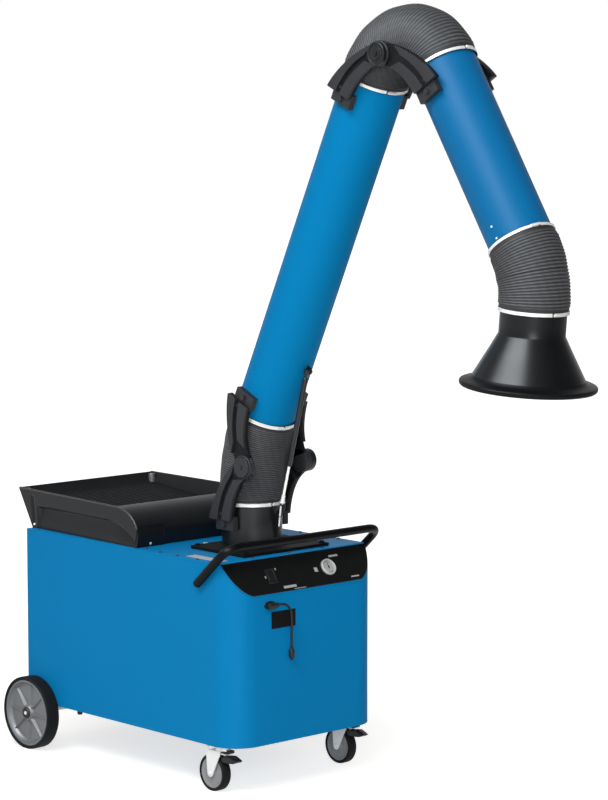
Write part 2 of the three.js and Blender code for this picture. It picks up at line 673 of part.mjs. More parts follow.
function hosePath(start, startWay, end, endWay, handleLength) {
  const from = start.clone().addScaledVector(startWay, hose.cuffLength);
  const to = end.clone().addScaledVector(endWay, -hose.cuffLength);
  const bend = new THREE.CubicBezierCurve3(
    from, from.clone().addScaledVector(startWay, handleLength),
    to.clone().addScaledVector(endWay, -handleLength), to);
  return { start, startWay, end, endWay, bend };
}

function ribbedHose(path, ribs) {
  const points = [];
  const rings = [];
  const addRing = (centre, way, radius) => {
    const normal = new THREE.Vector3().crossVectors(across, way).normalize();
    const first = points.length / 3;
    for (let i = 0; i < duct.sides; i += 1) {
      const angle = (2 * Math.PI * i) / duct.sides;
      const point = centre.clone().addScaledVector(across, -radius * Math.cos(angle));
      point.addScaledVector(normal, radius * Math.sin(angle));
      points.push(point.x, point.y, point.z);
    }
    rings.push(first);
  };
  const onBend = (u, radius) => addRing(path.bend.getPointAt(u), path.bend.getTangentAt(u), radius);
  addRing(path.start, path.startWay, hose.bore);
  addRing(path.start, path.startWay, hose.cuff);
  onBend(0, hose.cuff);
  for (let rib = 0; rib < ribs; rib += 1) {
    onBend((rib + 0.3) / ribs, hose.crest);
    onBend((rib + 0.75) / ribs, hose.cuff);
  }
  onBend(1, hose.cuff);
  addRing(path.end, path.endWay, hose.cuff);
  addRing(path.end, path.endWay, hose.bore);
  const boreRings = Math.max(2, Math.round(ribs / 5));
  for (let i = boreRings; i >= 0; i -= 1) onBend(i / boreRings, hose.bore);
  const faces = [];
  rings.forEach((a, k) => {
    const b = rings[(k + 1) % rings.length];
    for (let i = 0; i < duct.sides; i += 1) {
      const j = (i + 1) % duct.sides;
      faces.push(a + i, a + j, b + j, a + i, b + j, b + i);
    }
  });
  const geometry = new THREE.BufferGeometry();
  geometry.setAttribute('position', new THREE.Float32BufferAttribute(points, 3));
  geometry.setIndex(faces);
  return geometry;
}

// A band clamp round a cuff, with its screw housing on one facet of the band
function bandClamp(facet) {
  const { inner, outer, width, offset, housing, screw } = clamp;
  const band = ring(inner, outer, offset, offset + width, duct.sides);
  const flat = inner * Math.cos(Math.PI / duct.sides) + 2 * GAP;
  const block = box(flat, outer + housing, -screw, screw, offset + 1, offset + width - 1);
  return join(band, block.rotateZ((2 * Math.PI * (facet + 0.5)) / duct.sides));
}

const up = new THREE.Vector3(0, 0, 1);
const lowerWay = new THREE.Vector3(Math.sin(armLean), 0, Math.cos(armLean));
const upperWay = new THREE.Vector3(Math.sin(foreLean), 0, -Math.cos(foreLean));
const hoodWay = new THREE.Vector3(-Math.sin(hoodTurn), 0, -Math.cos(hoodTurn));
const collarEnd = new THREE.Vector3(swivel.x, 0, swivel.collarTop);
const neckEnd = nose.clone().addScaledVector(hoodWay, hood.neckStart);
const tubeEnd = {
  lowerBottom: inLower(-knuckle.offset, lowerArm.reach),
  lowerTop: inLower(-knuckle.offset, lowerTop),
  upperTop: inUpper(-knuckle.offset, upperArm.reach),
  upperBottom: inUpper(-knuckle.offset, upperEnd),
};
const hoses = {
  lower_hose: [hosePath(collarEnd, up, tubeEnd.lowerBottom, lowerWay, 95), 22],
  elbow_hose: [hosePath(tubeEnd.lowerTop, lowerWay, tubeEnd.upperTop, upperWay, 134), 26],
  nose_hose: [hosePath(tubeEnd.upperBottom, upperWay, neckEnd, hoodWay, 66), 14],
};
for (const [name, [path, ribs]] of Object.entries(hoses)) {
  add(unit, name, ribbedHose(path, ribs), materials.hose);
}

// name, where the hose starts, the way into the hose as a turn about Y, the screw housing's facet
const clamps = [
  ['collar_clamp', collarEnd, 0, -2],
  ['lower_tube_clamp', tubeEnd.lowerBottom, Math.PI + armLean, 9],
  ['elbow_lower_clamp', tubeEnd.lowerTop, armLean, -2],
  ['elbow_upper_clamp', tubeEnd.upperTop, -foreLean, -3],
  ['nose_upper_clamp', tubeEnd.upperBottom, upperTurn, 8],
  ['nose_lower_clamp', neckEnd, hoodTurn, -1],
];
for (const [name, at, turn, facet] of clamps) {
  add(frameAt(unit, at.x, 0, at.z, turn), name, bandClamp(facet), materials.zinc);
}

// Gas strut: its cylinder hangs on the lower tube, its rod ends at the bracket on the collar

const strutTop = inLower(strut.offset - knuckle.offset, lowerArm.reach + strut.along);
const strutRun = new THREE.Vector3(strut.lowX, 0, strut.lowZ).sub(strutTop);
const strutLength = strutRun.length();
const strutFrame = frameAt(unit, strutTop.x, 0, strutTop.z, Math.atan2(strutRun.x, strutRun.z));
const strutBore = strut.rod + 0.8;
add(strutFrame, 'strut_cylinder', turned([
  [0, -9], [strut.radius, -9], [strut.radius, strut.body],
  [strutBore, strut.body], [strutBore, 120], [0, 120],
], 12), materials.blackPaint);
add(strutFrame, 'strut_rod', turned([
  [0, 190], [strut.rod, 190], [strut.rod, strutLength - 10], [strut.ball, strutLength - 5],
  [strut.ball, strutLength + 5], [0, strutLength + 9],
], 12), materials.zinc);

// The origin goes to the middle of the base

const extent = new THREE.Box3().setFromObject(unit, true);
const middle = extent.getCenter(new THREE.Vector3());
unit.position.set(-middle.x, -middle.y, -extent.min.z);

export default unit;
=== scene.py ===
"""Looks of the mobile fume extractor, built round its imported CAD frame.

Pieces are drawn in millimetres in the cabinet's own coordinates and moved to the frame, in metres, by ROW.
"""
import bmesh
import bpy
import math
from mathutils import Matrix, Vector
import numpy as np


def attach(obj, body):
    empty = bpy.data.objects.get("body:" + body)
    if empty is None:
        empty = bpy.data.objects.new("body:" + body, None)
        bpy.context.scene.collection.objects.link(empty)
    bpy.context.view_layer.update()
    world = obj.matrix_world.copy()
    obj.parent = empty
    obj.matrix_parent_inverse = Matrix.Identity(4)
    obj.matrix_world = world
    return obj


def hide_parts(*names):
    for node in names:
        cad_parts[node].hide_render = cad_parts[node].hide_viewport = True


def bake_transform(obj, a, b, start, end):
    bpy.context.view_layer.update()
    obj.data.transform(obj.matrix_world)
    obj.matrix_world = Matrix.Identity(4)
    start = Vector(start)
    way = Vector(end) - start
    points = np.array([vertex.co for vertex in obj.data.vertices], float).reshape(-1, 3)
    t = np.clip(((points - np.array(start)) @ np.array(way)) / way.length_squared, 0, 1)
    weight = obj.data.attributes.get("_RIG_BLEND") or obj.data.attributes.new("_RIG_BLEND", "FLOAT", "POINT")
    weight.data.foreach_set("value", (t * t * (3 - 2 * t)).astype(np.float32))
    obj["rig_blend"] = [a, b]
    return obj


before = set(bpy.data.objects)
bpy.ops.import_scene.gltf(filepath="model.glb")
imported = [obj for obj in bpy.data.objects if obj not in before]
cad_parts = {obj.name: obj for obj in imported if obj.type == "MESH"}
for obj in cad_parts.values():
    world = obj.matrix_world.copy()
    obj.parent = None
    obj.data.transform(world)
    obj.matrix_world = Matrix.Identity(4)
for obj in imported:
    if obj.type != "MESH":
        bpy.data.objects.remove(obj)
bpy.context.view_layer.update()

IDENTITY = Matrix()
ORIGIN_X = -0.297851
ROW = Matrix.Translation((ORIGIN_X, 0, 0)) @ Matrix.Diagonal((0.001, 0.001, 0.001, 1))
SIDES = (("left", 1), ("right", -1))
UP, LEFT = Vector((0, 0, 1)), Vector((0, 1, 0))


def at(x, y, z):
    return Matrix.Translation((x, y, z))


def turn(axis, degrees):
    return Matrix.Rotation(math.radians(degrees), 4, axis)


ALONG_Y = turn("X", -90)

# Sizes shared with the CAD source

FRONT, REAR, HALF, BOTTOM, TOP, CORNER = 292, -802, 328, 160, 765, 102
SLOPE_START, SLOPE_RUN, SLOPE_FALL = 220, 72, 105
CONSOLE_TURN = math.degrees(math.atan2(SLOPE_FALL, SLOPE_RUN))
CONSOLE = at(SLOPE_START + SLOPE_RUN / 2, 0, TOP - SLOPE_FALL / 2) @ turn("Y", CONSOLE_TURN)
DUCT, OFFSET = 101.6, 106
SWIVEL_X, COLLAR_TOP, PLATE_TOP = 12, 909, 776
LEAN, FORE_LEAN, HOOD_TILT = 25.3, 32.15, 4.8
LOWER_START, LOWER_END, UPPER_START, UPPER_END = 145, 1348, 118, 725
SHOULDER_Z, ELBOW_REACH, NOSE_REACH = 1053, 1490, 844
SHOULDER = at(SWIVEL_X + OFFSET, 0, SHOULDER_Z)
LOWER = SHOULDER @ turn("Y", LEAN)
BASE_JOINT = SHOULDER @ turn("Y", 180)
ELBOW = Matrix.Translation(LOWER @ Vector((0, 0, ELBOW_REACH)))
UPPER = ELBOW @ turn("Y", 180 - FORE_LEAN)
ELBOW_JOINT = ELBOW @ turn("Y", 180 + LEAN)
HOOD = Matrix.Translation(UPPER @ Vector((-OFFSET, 0, NOSE_REACH))) @ turn("Y", HOOD_TILT)
REAR_X, REAR_Y, REAR_Z = -748, 358, 125.436
CASTER_X, CASTER_Y, TRAIL, CASTER_Z = 186, 284, 40, 60.809

# Camera

camera = bpy.data.objects.new("camera", bpy.data.cameras.new("camera"))
bpy.context.scene.collection.objects.link(camera)
bpy.context.scene.camera = camera
camera.data.lens, camera.data.sensor_width, camera.data.clip_end = 128.84, 36, 200
azimuth, elevation = math.radians(47.3), math.radians(6.4)
camera.location = ROW @ Vector((7112.7, -6315.7, 2322.9))
camera.rotation_euler = (math.pi / 2 - elevation, 0, azimuth)

# Materials

COOL_SHEEN = (0.9, 0.96, 1, 1)


def feed(tree, node, inputs):
    """Sets a node's inputs, each to a value or to another node's output."""
    for socket, value in inputs.items():
        if isinstance(value, bpy.types.NodeSocket):
            tree.links.new(value, node.inputs[socket])
        else:
            node.inputs[socket].default_value = value


def add_node(tree, kind, inputs, **settings):
    """Adds a shader node and gives back its outputs."""
    made = tree.nodes.new("ShaderNode" + kind)
    for setting, value in settings.items():
        setattr(made, setting, value)
    feed(tree, made, inputs)
    return made.outputs


def remap(tree, value, low, high, to_low, to_high):
    return add_node(tree, "MapRange", {"Value": value, "From Min": low, "From Max": high,
                                       "To Min": to_low, "To Max": to_high})["Result"]


def mix_colors(tree, share, a, b):
    return add_node(tree, "Mix", {"Factor": share, "A": a, "B": b}, data_type="RGBA")["Result"]


def material(name, color, rough, metal=0, vary=0.2, patch=5, rough_vary=0.06, bump=0.05, grain=700,
             stretch=(1, 1, 1), gloss=0.5):
    """A principled material, its colour and roughness varied by one noise and its surface by a finer one.

    patch and grain are the scales of these noises, to the metre.
    """
    made = bpy.data.materials.new(name)
    made.use_nodes = True
    tree = made.node_tree
    place = add_node(tree, "TexCoord", {})["Object"]
    place = add_node(tree, "Mapping", {"Vector": place, "Scale": stretch})["Vector"]
    broad = add_node(tree, "TexNoise", {"Vector": place, "Scale": patch, "Detail": 8})["Fac"]
    fine = add_node(tree, "TexNoise", {"Vector": place, "Scale": grain, "Detail": 4})["Fac"]
    dark, light = [[min(1, c * share) for c in color] for share in (1 - vary, 1 + vary)]
    feed(tree, tree.nodes["Principled BSDF"], {
        "Base Color": mix_colors(tree, broad, (*dark, 1), (*light, 1)),
        "Roughness": remap(tree, broad, 0, 1, rough - rough_vary, rough + rough_vary),
        "Normal": add_node(tree, "Bump", {"Height": fine, "Strength": bump, "Distance": 0.001})["Normal"],
        "Metallic": metal, "Specular IOR Level": gloss, "Specular Tint": COOL_SHEEN})
    return made


def tint_by_attribute(made, attribute, color):
    """Mixes another colour in where a vertex attribute of the piece says so."""
    tree = made.node_tree
    shader = tree.nodes["Principled BSDF"]
    below = shader.inputs["Base Color"].links[0].from_socket
    share = add_node(tree, "Attribute", {}, attribute_name=attribute)["Fac"]
    feed(tree, shader, {"Base Color": mix_colors(tree, share, below, (*color, 1))})
    return made


blue = material(
    "blue_powder_coat", (0.002, 0.225, 0.53), 0.5, vary=0.05, patch=2.2, bump=0.06, grain=900, gloss=0.06)
tube_blue = material(
    "blue_tube_coat", (0.002, 0.222, 0.52), 0.48, vary=0.05, patch=2.5, grain=900, gloss=0.03)
# A darker copy of the tube blue: painted shade on the upper tube
upper_tube_painted_shade_blue = material(
    "blue_upper_tube_painted_shade", (0.002, 0.146, 0.365), 0.48, vary=0.05, patch=2.5, grain=900, gloss=0.12)
hood_black = material(
    "hood_black", (0.003, 0.0034, 0.0042), 0.32, patch=7, bump=0.04, grain=420, gloss=0.25)
brim_black = material(
    "hood_brim_black", (0.006, 0.0063, 0.007), 0.42, patch=12, bump=0.1, grain=420, gloss=0.09)
tray_black = material(
    "moulded_black", (0.0075, 0.008, 0.0095), 0.42, vary=0.22, patch=9, bump=0.12, grain=520, gloss=0.21)
well_black = material("tray_well", (0.013, 0.0135, 0.015), 0.7, patch=12, bump=0.15, grain=520, gloss=0.08)
# The bead is real; its colour, lighter than the tray's, is a painted highlight along the edge
bead_painted_highlight_black = material("tray_bead", (0.03, 0.031, 0.034), 0.38, patch=20, bump=0.08, grain=520)
panel_black = material(
    "console_black", (0.0045, 0.0047, 0.005), 0.3, vary=0.15, patch=12, bump=0.03, grain=800, gloss=0.22)
paint_black = material("black_enamel", (0.006, 0.0065, 0.0075), 0.36, patch=8, bump=0.06, gloss=0.4)
handle_black = material("handle_black", (0.003, 0.0032, 0.0037), 0.32, patch=10, gloss=0.1)
plate_black = material("base_plate_black", (0.006, 0.0063, 0.007), 0.65, patch=10, bump=0.1, gloss=0.08)
cast_black = material(
    "cast_black", (0.024, 0.0255, 0.0295), 0.45, vary=0.25, patch=14, bump=0.25, grain=330, gloss=0.25)
# Darker than the cast ribs around it: painted shade in the groove between them
web_painted_shade_black = material(
    "cast_web_painted_shade", (0.008, 0.0085, 0.01), 0.55, vary=0.25, patch=14, bump=0.25, grain=330, gloss=0.12)
knob_black = material("knob_black", (0.009, 0.0095, 0.011), 0.4, patch=20, bump=0.1, grain=500, gloss=0.25)
tyre_black = material(
    "tyre_rubber", (0.006, 0.0065, 0.0075), 0.7, vary=0.25, patch=18, bump=0.25, grain=380, gloss=0.15)
cord_black = material("cord_rubber", (0.01, 0.0105, 0.012), 0.5, patch=40, bump=0.08, grain=900, gloss=0.3)
wheel_grey = material(
    "wheel_grey", (0.175, 0.182, 0.194), 0.42, metal=0.2, vary=0.1, patch=16, bump=0.08, grain=450)
disc_grey = material(
    "caster_disc_grey", (0.29, 0.295, 0.305), 0.45, vary=0.1, patch=24, bump=0.06, grain=600, gloss=0.3)
zinc = material(
    "zinc_plate", (0.88, 0.89, 0.89), 0.4, metal=0.25, vary=0.05, patch=28, rough_vary=0.08, grain=520)
band_steel = material(
    "band_steel", (0.92, 0.93, 0.93), 0.4, metal=0.25, vary=0.04, patch=30, grain=500, stretch=(1, 1, 6))
chrome = material(
    "strut_chrome", (0.9, 0.91, 0.92), 0.25, metal=0.6, vary=0.04, patch=40, bump=0.02, grain=900)
bezel_white = material("bezel_white", (0.64, 0.65, 0.65), 0.35, vary=0.03, patch=30, bump=0.02, grain=900)
dial_grey = material("dial_grey", (0.47, 0.5, 0.51), 0.35, vary=0.06, patch=60, bump=0.02, grain=900)
label_silver = material(
    "label_silver", (0.62, 0.63, 0.63), 0.35, metal=0.4, vary=0.08, patch=60, grain=600, stretch=(1, 6, 1))
motor_grey = material(
    "motor_grey", (0.3, 0.31, 0.32), 0.5, metal=0.4, vary=0.1, patch=10, bump=0.2, grain=300)
# Much lighter than the tray: painted highlight on the posts at the tray's rear corners
post_painted_highlight_grey = material("tray_post_painted_highlight_grey", (0.12, 0.122, 0.125), 0.4, vary=0.15, patch=40, bump=0.08)
filter_cream = material("filter_media", (0.68, 0.62, 0.48), 0.9, vary=0.12, patch=30, bump=0.5, grain=260)
# Rubber mixed lighter towards each rib's crest: painted highlight on the crests, painted shade in the grooves
hose_grey = tint_by_attribute(
    material("hose_rubber", (0.026, 0.0265, 0.029), 0.6, vary=0.4, patch=95, rough_vary=0.1, bump=0.4,
             grain=420, gloss=0.3),
    "painted_crest_highlight", (0.13, 0.136, 0.147))

# Mesh helpers


def circle(count):
    """The angles of even steps round a circle."""
    return [2 * math.pi * i / count for i in range(count)]


def arc(start, sweep, steps):
    """The angles of even steps along an arc that is given in degrees."""
    return [math.radians(start + sweep * i / steps) for i in range(steps + 1)]


def polar(radius, angle):
    return radius * math.cos(angle), radius * math.sin(angle)


def hexagon(radius):
    return [polar(radius, a) for a in circle(6)]


def facing(point, way):
    """A place at a point, its Z turned to a direction."""
    return Matrix.Translation(point) @ way.to_track_quat("Z", "Y").to_matrix().to_4x4()


def both_faces(half):
    """A wheel's profile of (radius, height) from its half above the middle, tread first."""
    return [(r, -z) for r, z in reversed(half)] + half


class Solid:
    """Points and faces of one piece, gathered in millimetres before it is placed."""

    def __init__(self):
        self.points, self.faces = [], []

    def add(self, points, faces, place=IDENTITY):
        first = len(self.points)
        self.points += [place @ Vector(p) for p in points]
        self.faces += [[first + i for i in face] for face in faces]
        return self

    def grid(self, rows, place=IDENTITY, close_rows=False, close_columns=False):
        high, wide = len(rows), len(rows[0])
        faces = []
        for r in range(high if close_rows else high - 1):
            for c in range(wide if close_columns else wide - 1):
                below, beside = (r + 1) % high, (c + 1) % wide
                faces.append([r * wide + c, r * wide + beside, below * wide + beside, below * wide + c])
        return self.add([p for row in rows for p in row], faces, place)

    def loft(self, sections, place=IDENTITY):
        """Closed sections joined in order, the first and last filled."""
        self.grid(sections, place, close_columns=True)
        for section in (sections[0], sections[-1]):
            self.add(section, [list(range(len(section)))], place)
        return self

    def turned(self, profile, place=IDENTITY, sides=64):
        """A profile of (radius, height) turned round Z, closed on itself if neither end is on the axis."""
        rows = [[(*polar(r, a), z) for a in circle(sides)] for r, z in profile]
        closed = profile[0][0] > 0 and profile[-1][0] > 0
        return self.grid(rows, place, close_rows=closed, close_columns=True)

    def prism(self, outline, low, high, place=IDENTITY):
        return self.loft([[(x, y, z) for x, y in outline] for z in (low, high)], place)

    def plate(self, outline, y0, y1, place=IDENTITY):
        """An outline of (x, z) given a thickness along Y."""
        return self.loft([[(x, y, z) for x, z in outline] for y in (y0, y1)], place)

    def box(self, x0, x1, y0, y1, z0, z1, place=IDENTITY):
        return self.prism([(x0, y0), (x1, y0), (x1, y1), (x0, y1)], z0, z1, place)

    def tube(self, path, radius, sides):
        """A round bar along a path of points."""
        points = [Vector(p) for p in path]
        sections, normal = [], None
        for i, point in enumerate(points):
            way = (points[min(i + 1, len(points) - 1)] - points[max(i - 1, 0)]).normalized()
            normal = way.orthogonal() if normal is None else normal
            normal = (normal - way * normal.dot(way)).normalized()
            other = way.cross(normal)
            spokes = [math.cos(a) * normal + math.sin(a) * other for a in circle(sides)]
            sections.append([point + radius * spoke for spoke in spokes])
        return self.loft(sections)

    def bolt(self, place, radius, height):
        """A hexagon head on its washer, standing on the X-Y plane of its place."""
        wide = radius * 1.45
        self.turned([(0, 0), (wide, 0), (wide, 1.6), (0, 1.6)], place, 24)
        return self.prism(hexagon(radius), 1.5, 1.5 + height, place)

    def screw(self, place, radius, height=2.6):
        """A domed screw head."""
        dome = [(0, -1), (radius, -1), (radius, 0.5), (radius * 0.75, height * 0.8), (0, height)]
        return self.turned(dome, place, 20)


def link(name, mesh):
    piece = bpy.data.objects.new(name, mesh)
    bpy.context.scene.collection.objects.link(piece)
    return piece


def mesh_of(name, solid, look_of):
    mesh = bpy.data.meshes.new(name)
    mesh.from_pydata([ROW @ p for p in solid.points], [], solid.faces)
    mesh.materials.append(look_of)
    mesh.shade_smooth()
    return mesh


def make(name, solid, look_of, body, *stands_for, slot="black_plastic", sharp=35, bevel=0):
    """Turns a Solid into a piece that rides on a body, in place of the CAD nodes that are named, if any."""
    mesh = mesh_of(name, solid, look_of)
    work = bmesh.new()
    work.from_mesh(mesh)
    bmesh.ops.remove_doubles(work, verts=work.verts, dist=1e-6)
    bmesh.ops.dissolve_degenerate(work, edges=work.edges, dist=1e-7)
    bmesh.ops.recalc_face_normals(work, faces=work.faces)
    work.to_mesh(mesh)
    work.free()
    piece = link(name, mesh)
    if bevel:
        edge = piece.modifiers.new("edge", "BEVEL")
        edge.width, edge.segments = bevel / 1000, 2
        edge.limit_method, edge.angle_limit = "ANGLE", math.radians(sharp)
        edge.harden_normals = True
    else:
        mesh.set_sharp_from_angle(angle=math.radians(sharp))
    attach(piece, body)
    if stands_for:
        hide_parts(*stands_for)
    return piece


def bezier(p0, p1, p2, p3, count):
    points = []
    for i in range(count + 1):
        t = i / count
        weights = ((1 - t) ** 3, 3 * t * (1 - t) ** 2, 3 * t * t * (1 - t), t ** 3)
        parts = [w * Vector(p) for w, p in zip(weights, (p0, p1, p2, p3))]
        points.append(sum(parts[1:], parts[0]))
    return points


def mix(a, b, share):
    return a + (b - a) * share


def smooth_step(low, high, value):
    t = max(0.0, min(1.0, (value - low) / (high - low)))
    return t * t * (3 - 2 * t)


# Mains lead, on the route of the CAD source

CORD_ROUTE = [
    (306, -144, 622), (306, -137, 622), (306, -130, 621.8), (306, -122, 620.6), (306, -113.5, 617.8),
    (306, -105.5, 612.8), (306, -98.6, 605.8), (306, -93.6, 597), (306, -90.6, 587), (306, -89.4, 575),
    (306, -89, 560), (306, -89, 545), (306, -89, 528), (306, -89, 510), (306, -89, 494), (306, -89, 478.3),
]
line = bpy.data.curves.new("mains_lead", "CURVE")
line.dimensions = "3D"
line.bevel_depth, line.bevel_resolution = 0.004, 4
spline = line.splines.new("POLY")
spline.points.add(len(CORD_ROUTE) - 1)
for point, place in zip(spline.points, CORD_ROUTE):
    point.co = (*(ROW @ Vector(place)), 1)
line.materials.append(cord_black)
lead = link("mains_lead", line)
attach(lead, "chassis")
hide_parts("power_cord")

CORD_END = at(*CORD_ROUTE[-1])
plug = Solid().turned([
    (0, -40), (7, -40), (9, -38), (9.6, -30), (10, -16), (8, -11), (5.2, -9), (5.2, -7.5), (6, -6.5),
    (5.2, -5.5), (5.2, -4), (5.8, -3), (4.8, -2), (4.6, 0), (0, 0)], CORD_END, 32)
for pin in (-3.2, 3.2):
    plug.turned([(0, -48), (1.8, -47), (1.8, -39), (0, -39)], CORD_END @ at(0, pin, 0), 12)
plug = make("plug", plug, cord_black, "chassis", "power_plug")

lead_y, lead_z = CORD_ROUTE[0][1:]
oval = [(lead_y - 30 + 24 * math.cos(a), lead_z + 14 * math.sin(a)) for a in circle(40)]
gland = Solid().loft([[(x, y, z) for y, z in oval] for x in (FRONT + 0.2, FRONT + 5)])
gland.turned([
    (0, -50), (9, -50), (11, -46), (11, -24), (9, -20), (7.6, -16), (7.6, -13), (8.4, -12), (7, -10), (7, -7),
    (7.8, -6), (6, -4), (5, 0), (0, 0)], at(*CORD_ROUTE[0]) @ ALONG_Y, 32)
make("lead_gland", gland, cord_black, "chassis", "cord_gland", bevel=1.2)

# Cabinet

SHEET, GAP, CORNER_STEPS = 3, 0.3, 28


def half_outline(inset):
    """The cabinet's plan from the right rear corner round the front to the left rear corner."""
    r = CORNER - inset
    points = [(REAR, -HALF + inset)]
    for middle, start in ((-HALF + CORNER, -90), (HALF - CORNER, 0)):
        for a in arc(start, 90, CORNER_STEPS):
            points.append((FRONT - CORNER + r * math.cos(a), middle + r * math.sin(a)))
    return points + [(REAR, HALF - inset)]


def slope_z(x, depth):
    """Height of the console's plane, depth under its face."""
    return TOP - (x - SLOPE_START) * SLOPE_FALL / SLOPE_RUN - depth / math.cos(math.radians(CONSOLE_TURN))


def wrap_top(x):
    """Height of the wrap's upper edge, a gap under the lid and the console."""
    return min(TOP - SHEET - GAP, slope_z(x, 5.6))


wrap = Solid().grid([
    [(x, y, min(z, wrap_top(x))) for x, y in half_outline(inset)] for inset, z in (
        (0, BOTTOM), (-0.4, BOTTOM + 1.5), (0, BOTTOM + 4), (0, TOP), (SHEET, TOP), (SHEET, BOTTOM))],
    close_rows=True)
make("cabinet_sheet", wrap, blue, "chassis", "cabinet_wrap", slot="blue_paint", sharp=40)

lid = Solid()
lid_rings = [[(x, y, min(TOP, slope_z(x, 2.3)) - drop) for x, y in half_outline(inset)]
             for inset, drop in ((0, SHEET), (0, 2.4), (0.3, 1.2), (1.0, 0.35), (2.4, 0))]
lid.grid(lid_rings)
inner_ring = lid_rings[-1]
lid.grid([[inner_ring[i], inner_ring[-1 - i]] for i in range(len(inner_ring) // 2)])
lid.grid([[(REAR, y, z) for y in (-HALF, HALF)] for z in (TOP - SHEET, TOP)])
make("top_sheet", lid, blue, "chassis", "top_panel", slot="blue_paint", sharp=50)

LOUVRES, LOUVRE_Z, LOUVRE_STEP, LOUVRE_HALF = 8, 360, 26, 170
edge_gap = SHEET + GAP
back = Solid().box(REAR, REAR + SHEET, edge_gap - HALF, HALF - edge_gap, BOTTOM + edge_gap, TOP - edge_gap)
for k in range(LOUVRES):
    z = LOUVRE_Z + LOUVRE_STEP * k
    louvre = [(REAR + 1, z + 14), (REAR - 8, z + 2), (REAR - 8, z), (REAR + 1, z - 1)]
    back.plate(louvre, -LOUVRE_HALF, LOUVRE_HALF)
for y in (-300, 0, 300):
    for z in (185, 470, 740):
        back.screw(at(REAR, y, z) @ turn("Y", -90), 5.5)
make("rear_cover", back, blue, "chassis", "rear_panel", slot="blue_paint", bevel=1)

trim = Solid()
screws = [(x, side * y) for x, y in ((-180, 302), (-93, 316), (-2, 317), (99, 316)) for side in (-1, 1)]
for x, y in screws + [(206, -171), (206, -13), (206, 143)]:
    trim.screw(at(x, y, TOP), 5.5, 3.4)
for y in (-318, 318):
    trim.turned([(0, -12), (8, -12), (9, -10), (9, 0), (0, 0)], at(-525, y, BOTTOM), 24)
make("cabinet_screws", trim, knob_black, "chassis")

# Console


def console_half(x):
    return HALF - CORNER + math.sqrt(max(0, CORNER ** 2 - (x - FRONT + CORNER) ** 2)) - 1.2


PANEL_STEPS, PANEL_THICK = 36, 2
levels = [mix(SLOPE_START + 1.5, FRONT - 1, 1 - (1 - i / PANEL_STEPS) ** 1.8) for i in range(PANEL_STEPS + 1)]
panel = Solid()
for depth in (0, PANEL_THICK):
    panel.grid([[(x, side * console_half(x), slope_z(x, depth)) for side in (-1, 1)] for x in levels])
panel_edge = [(x, -console_half(x)) for x in levels] + [(x, console_half(x)) for x in reversed(levels)]
panel.grid([[(x, y, slope_z(x, d)) for x, y in panel_edge] for d in (0, PANEL_THICK)], close_columns=True)
make("console_panel", panel, panel_black, "chassis", "control_panel", bevel=0.7)

GAUGE = CONSOLE @ at(4, 118, 0)
gauge = Solid().turned([
    (0, 0.2), (29, 0.2), (29, 3), (28, 7.5), (26.5, 9), (25.2, 9), (24.4, 7.8), (24.4, 3), (0, 3)], GAUGE)
make("gauge_case", gauge, bezel_white, "chassis", "gauge_body", slot="dial_white", sharp=50)
make("gauge_dial", Solid().turned([(24.2, 3.05), (24.2, 3.3), (0, 3.3)], GAUGE), dial_grey, "chassis",
     slot="dial_white")
SCALE_START, SCALE_MARKS, MARK_STEP = 150, 11, 24
scale_marks = Solid()
for k in range(SCALE_MARKS):
    spoke = GAUGE @ turn("Z", SCALE_START + MARK_STEP * k)
    scale_marks.box(15.5 if k % 5 == 0 else 17.5, 20.5, -0.55, 0.55, 3.2, 3.6, spoke)
scale_arc = arc(SCALE_START, MARK_STEP * (SCALE_MARKS - 1), 40)
scale_marks.grid([[(*polar(r, a), 3.5) for a in scale_arc] for r in (20.6, 21.6)], GAUGE)
make("gauge_scale", scale_marks, knob_black, "chassis")
pointer = Solid().prism([(7, -1.6), (7, 1.6), (-19, 0.4), (-19, -0.4)], 4.1, 4.9, GAUGE)
pointer.turned([(0, 4), (3, 4), (3, 5.4), (0, 6)], GAUGE, 24)
make("gauge_pointer_arm", pointer, knob_black, "gauge_pointer", "gauge_needle")

ROCKER = CONSOLE @ at(5.4, -138, 0)
key_outline = [(-20, -8), (20, -8)]
key_outline += [(20 - 40 * i / 12, 5 - 3 * math.sin(math.pi * i / 12)) for i in range(13)]
make("switch_key", Solid().plate(key_outline, -12, 12, ROCKER), knob_black, "rocker", "rocker_switch",
     bevel=1)
bezel = Solid()
for x0, x1, y0, y1 in ((-26, -22.2, -18, 18), (22.2, 26, -18, 18), (-22.2, 22.2, -18, -14.2),
                       (-22.2, 22.2, 14.2, 18)):
    bezel.box(x0, x1, y0, y1, 0.1, 2.6, ROCKER)
make("switch_bezel", bezel, cast_black, "chassis", bevel=0.8)
marks = Solid()
for along, y, wide, long in ((-34, 160, 7, 40), (6, 62, 16, 15), (50, 218, 5, 36), (50, -76, 9, 56),
                             (5.4, -162, 8, 5), (-18, -108, 7, 5)):
    marks.box(along - wide / 2, along + wide / 2, y - long / 2, y + long / 2, 0.05, 0.5, CONSOLE)
marks.box(59.5, 61.5, -62, -10, 0.05, 0.6, CONSOLE)
make("console_blank_labels", marks, label_silver, "chassis", slot="dial_white", bevel=0.2)

make("top_blank_plate", Solid().box(24, 190, -302, -262, TOP + 0.05, TOP + 0.7), label_silver, "chassis",
     slot="zinc", bevel=0.3)
make("front_blank_plate", Solid().box(FRONT + 0.1, FRONT + 0.8, -166, -60, 541, 598), plate_black, "chassis",
     bevel=0.3)

# Push handle

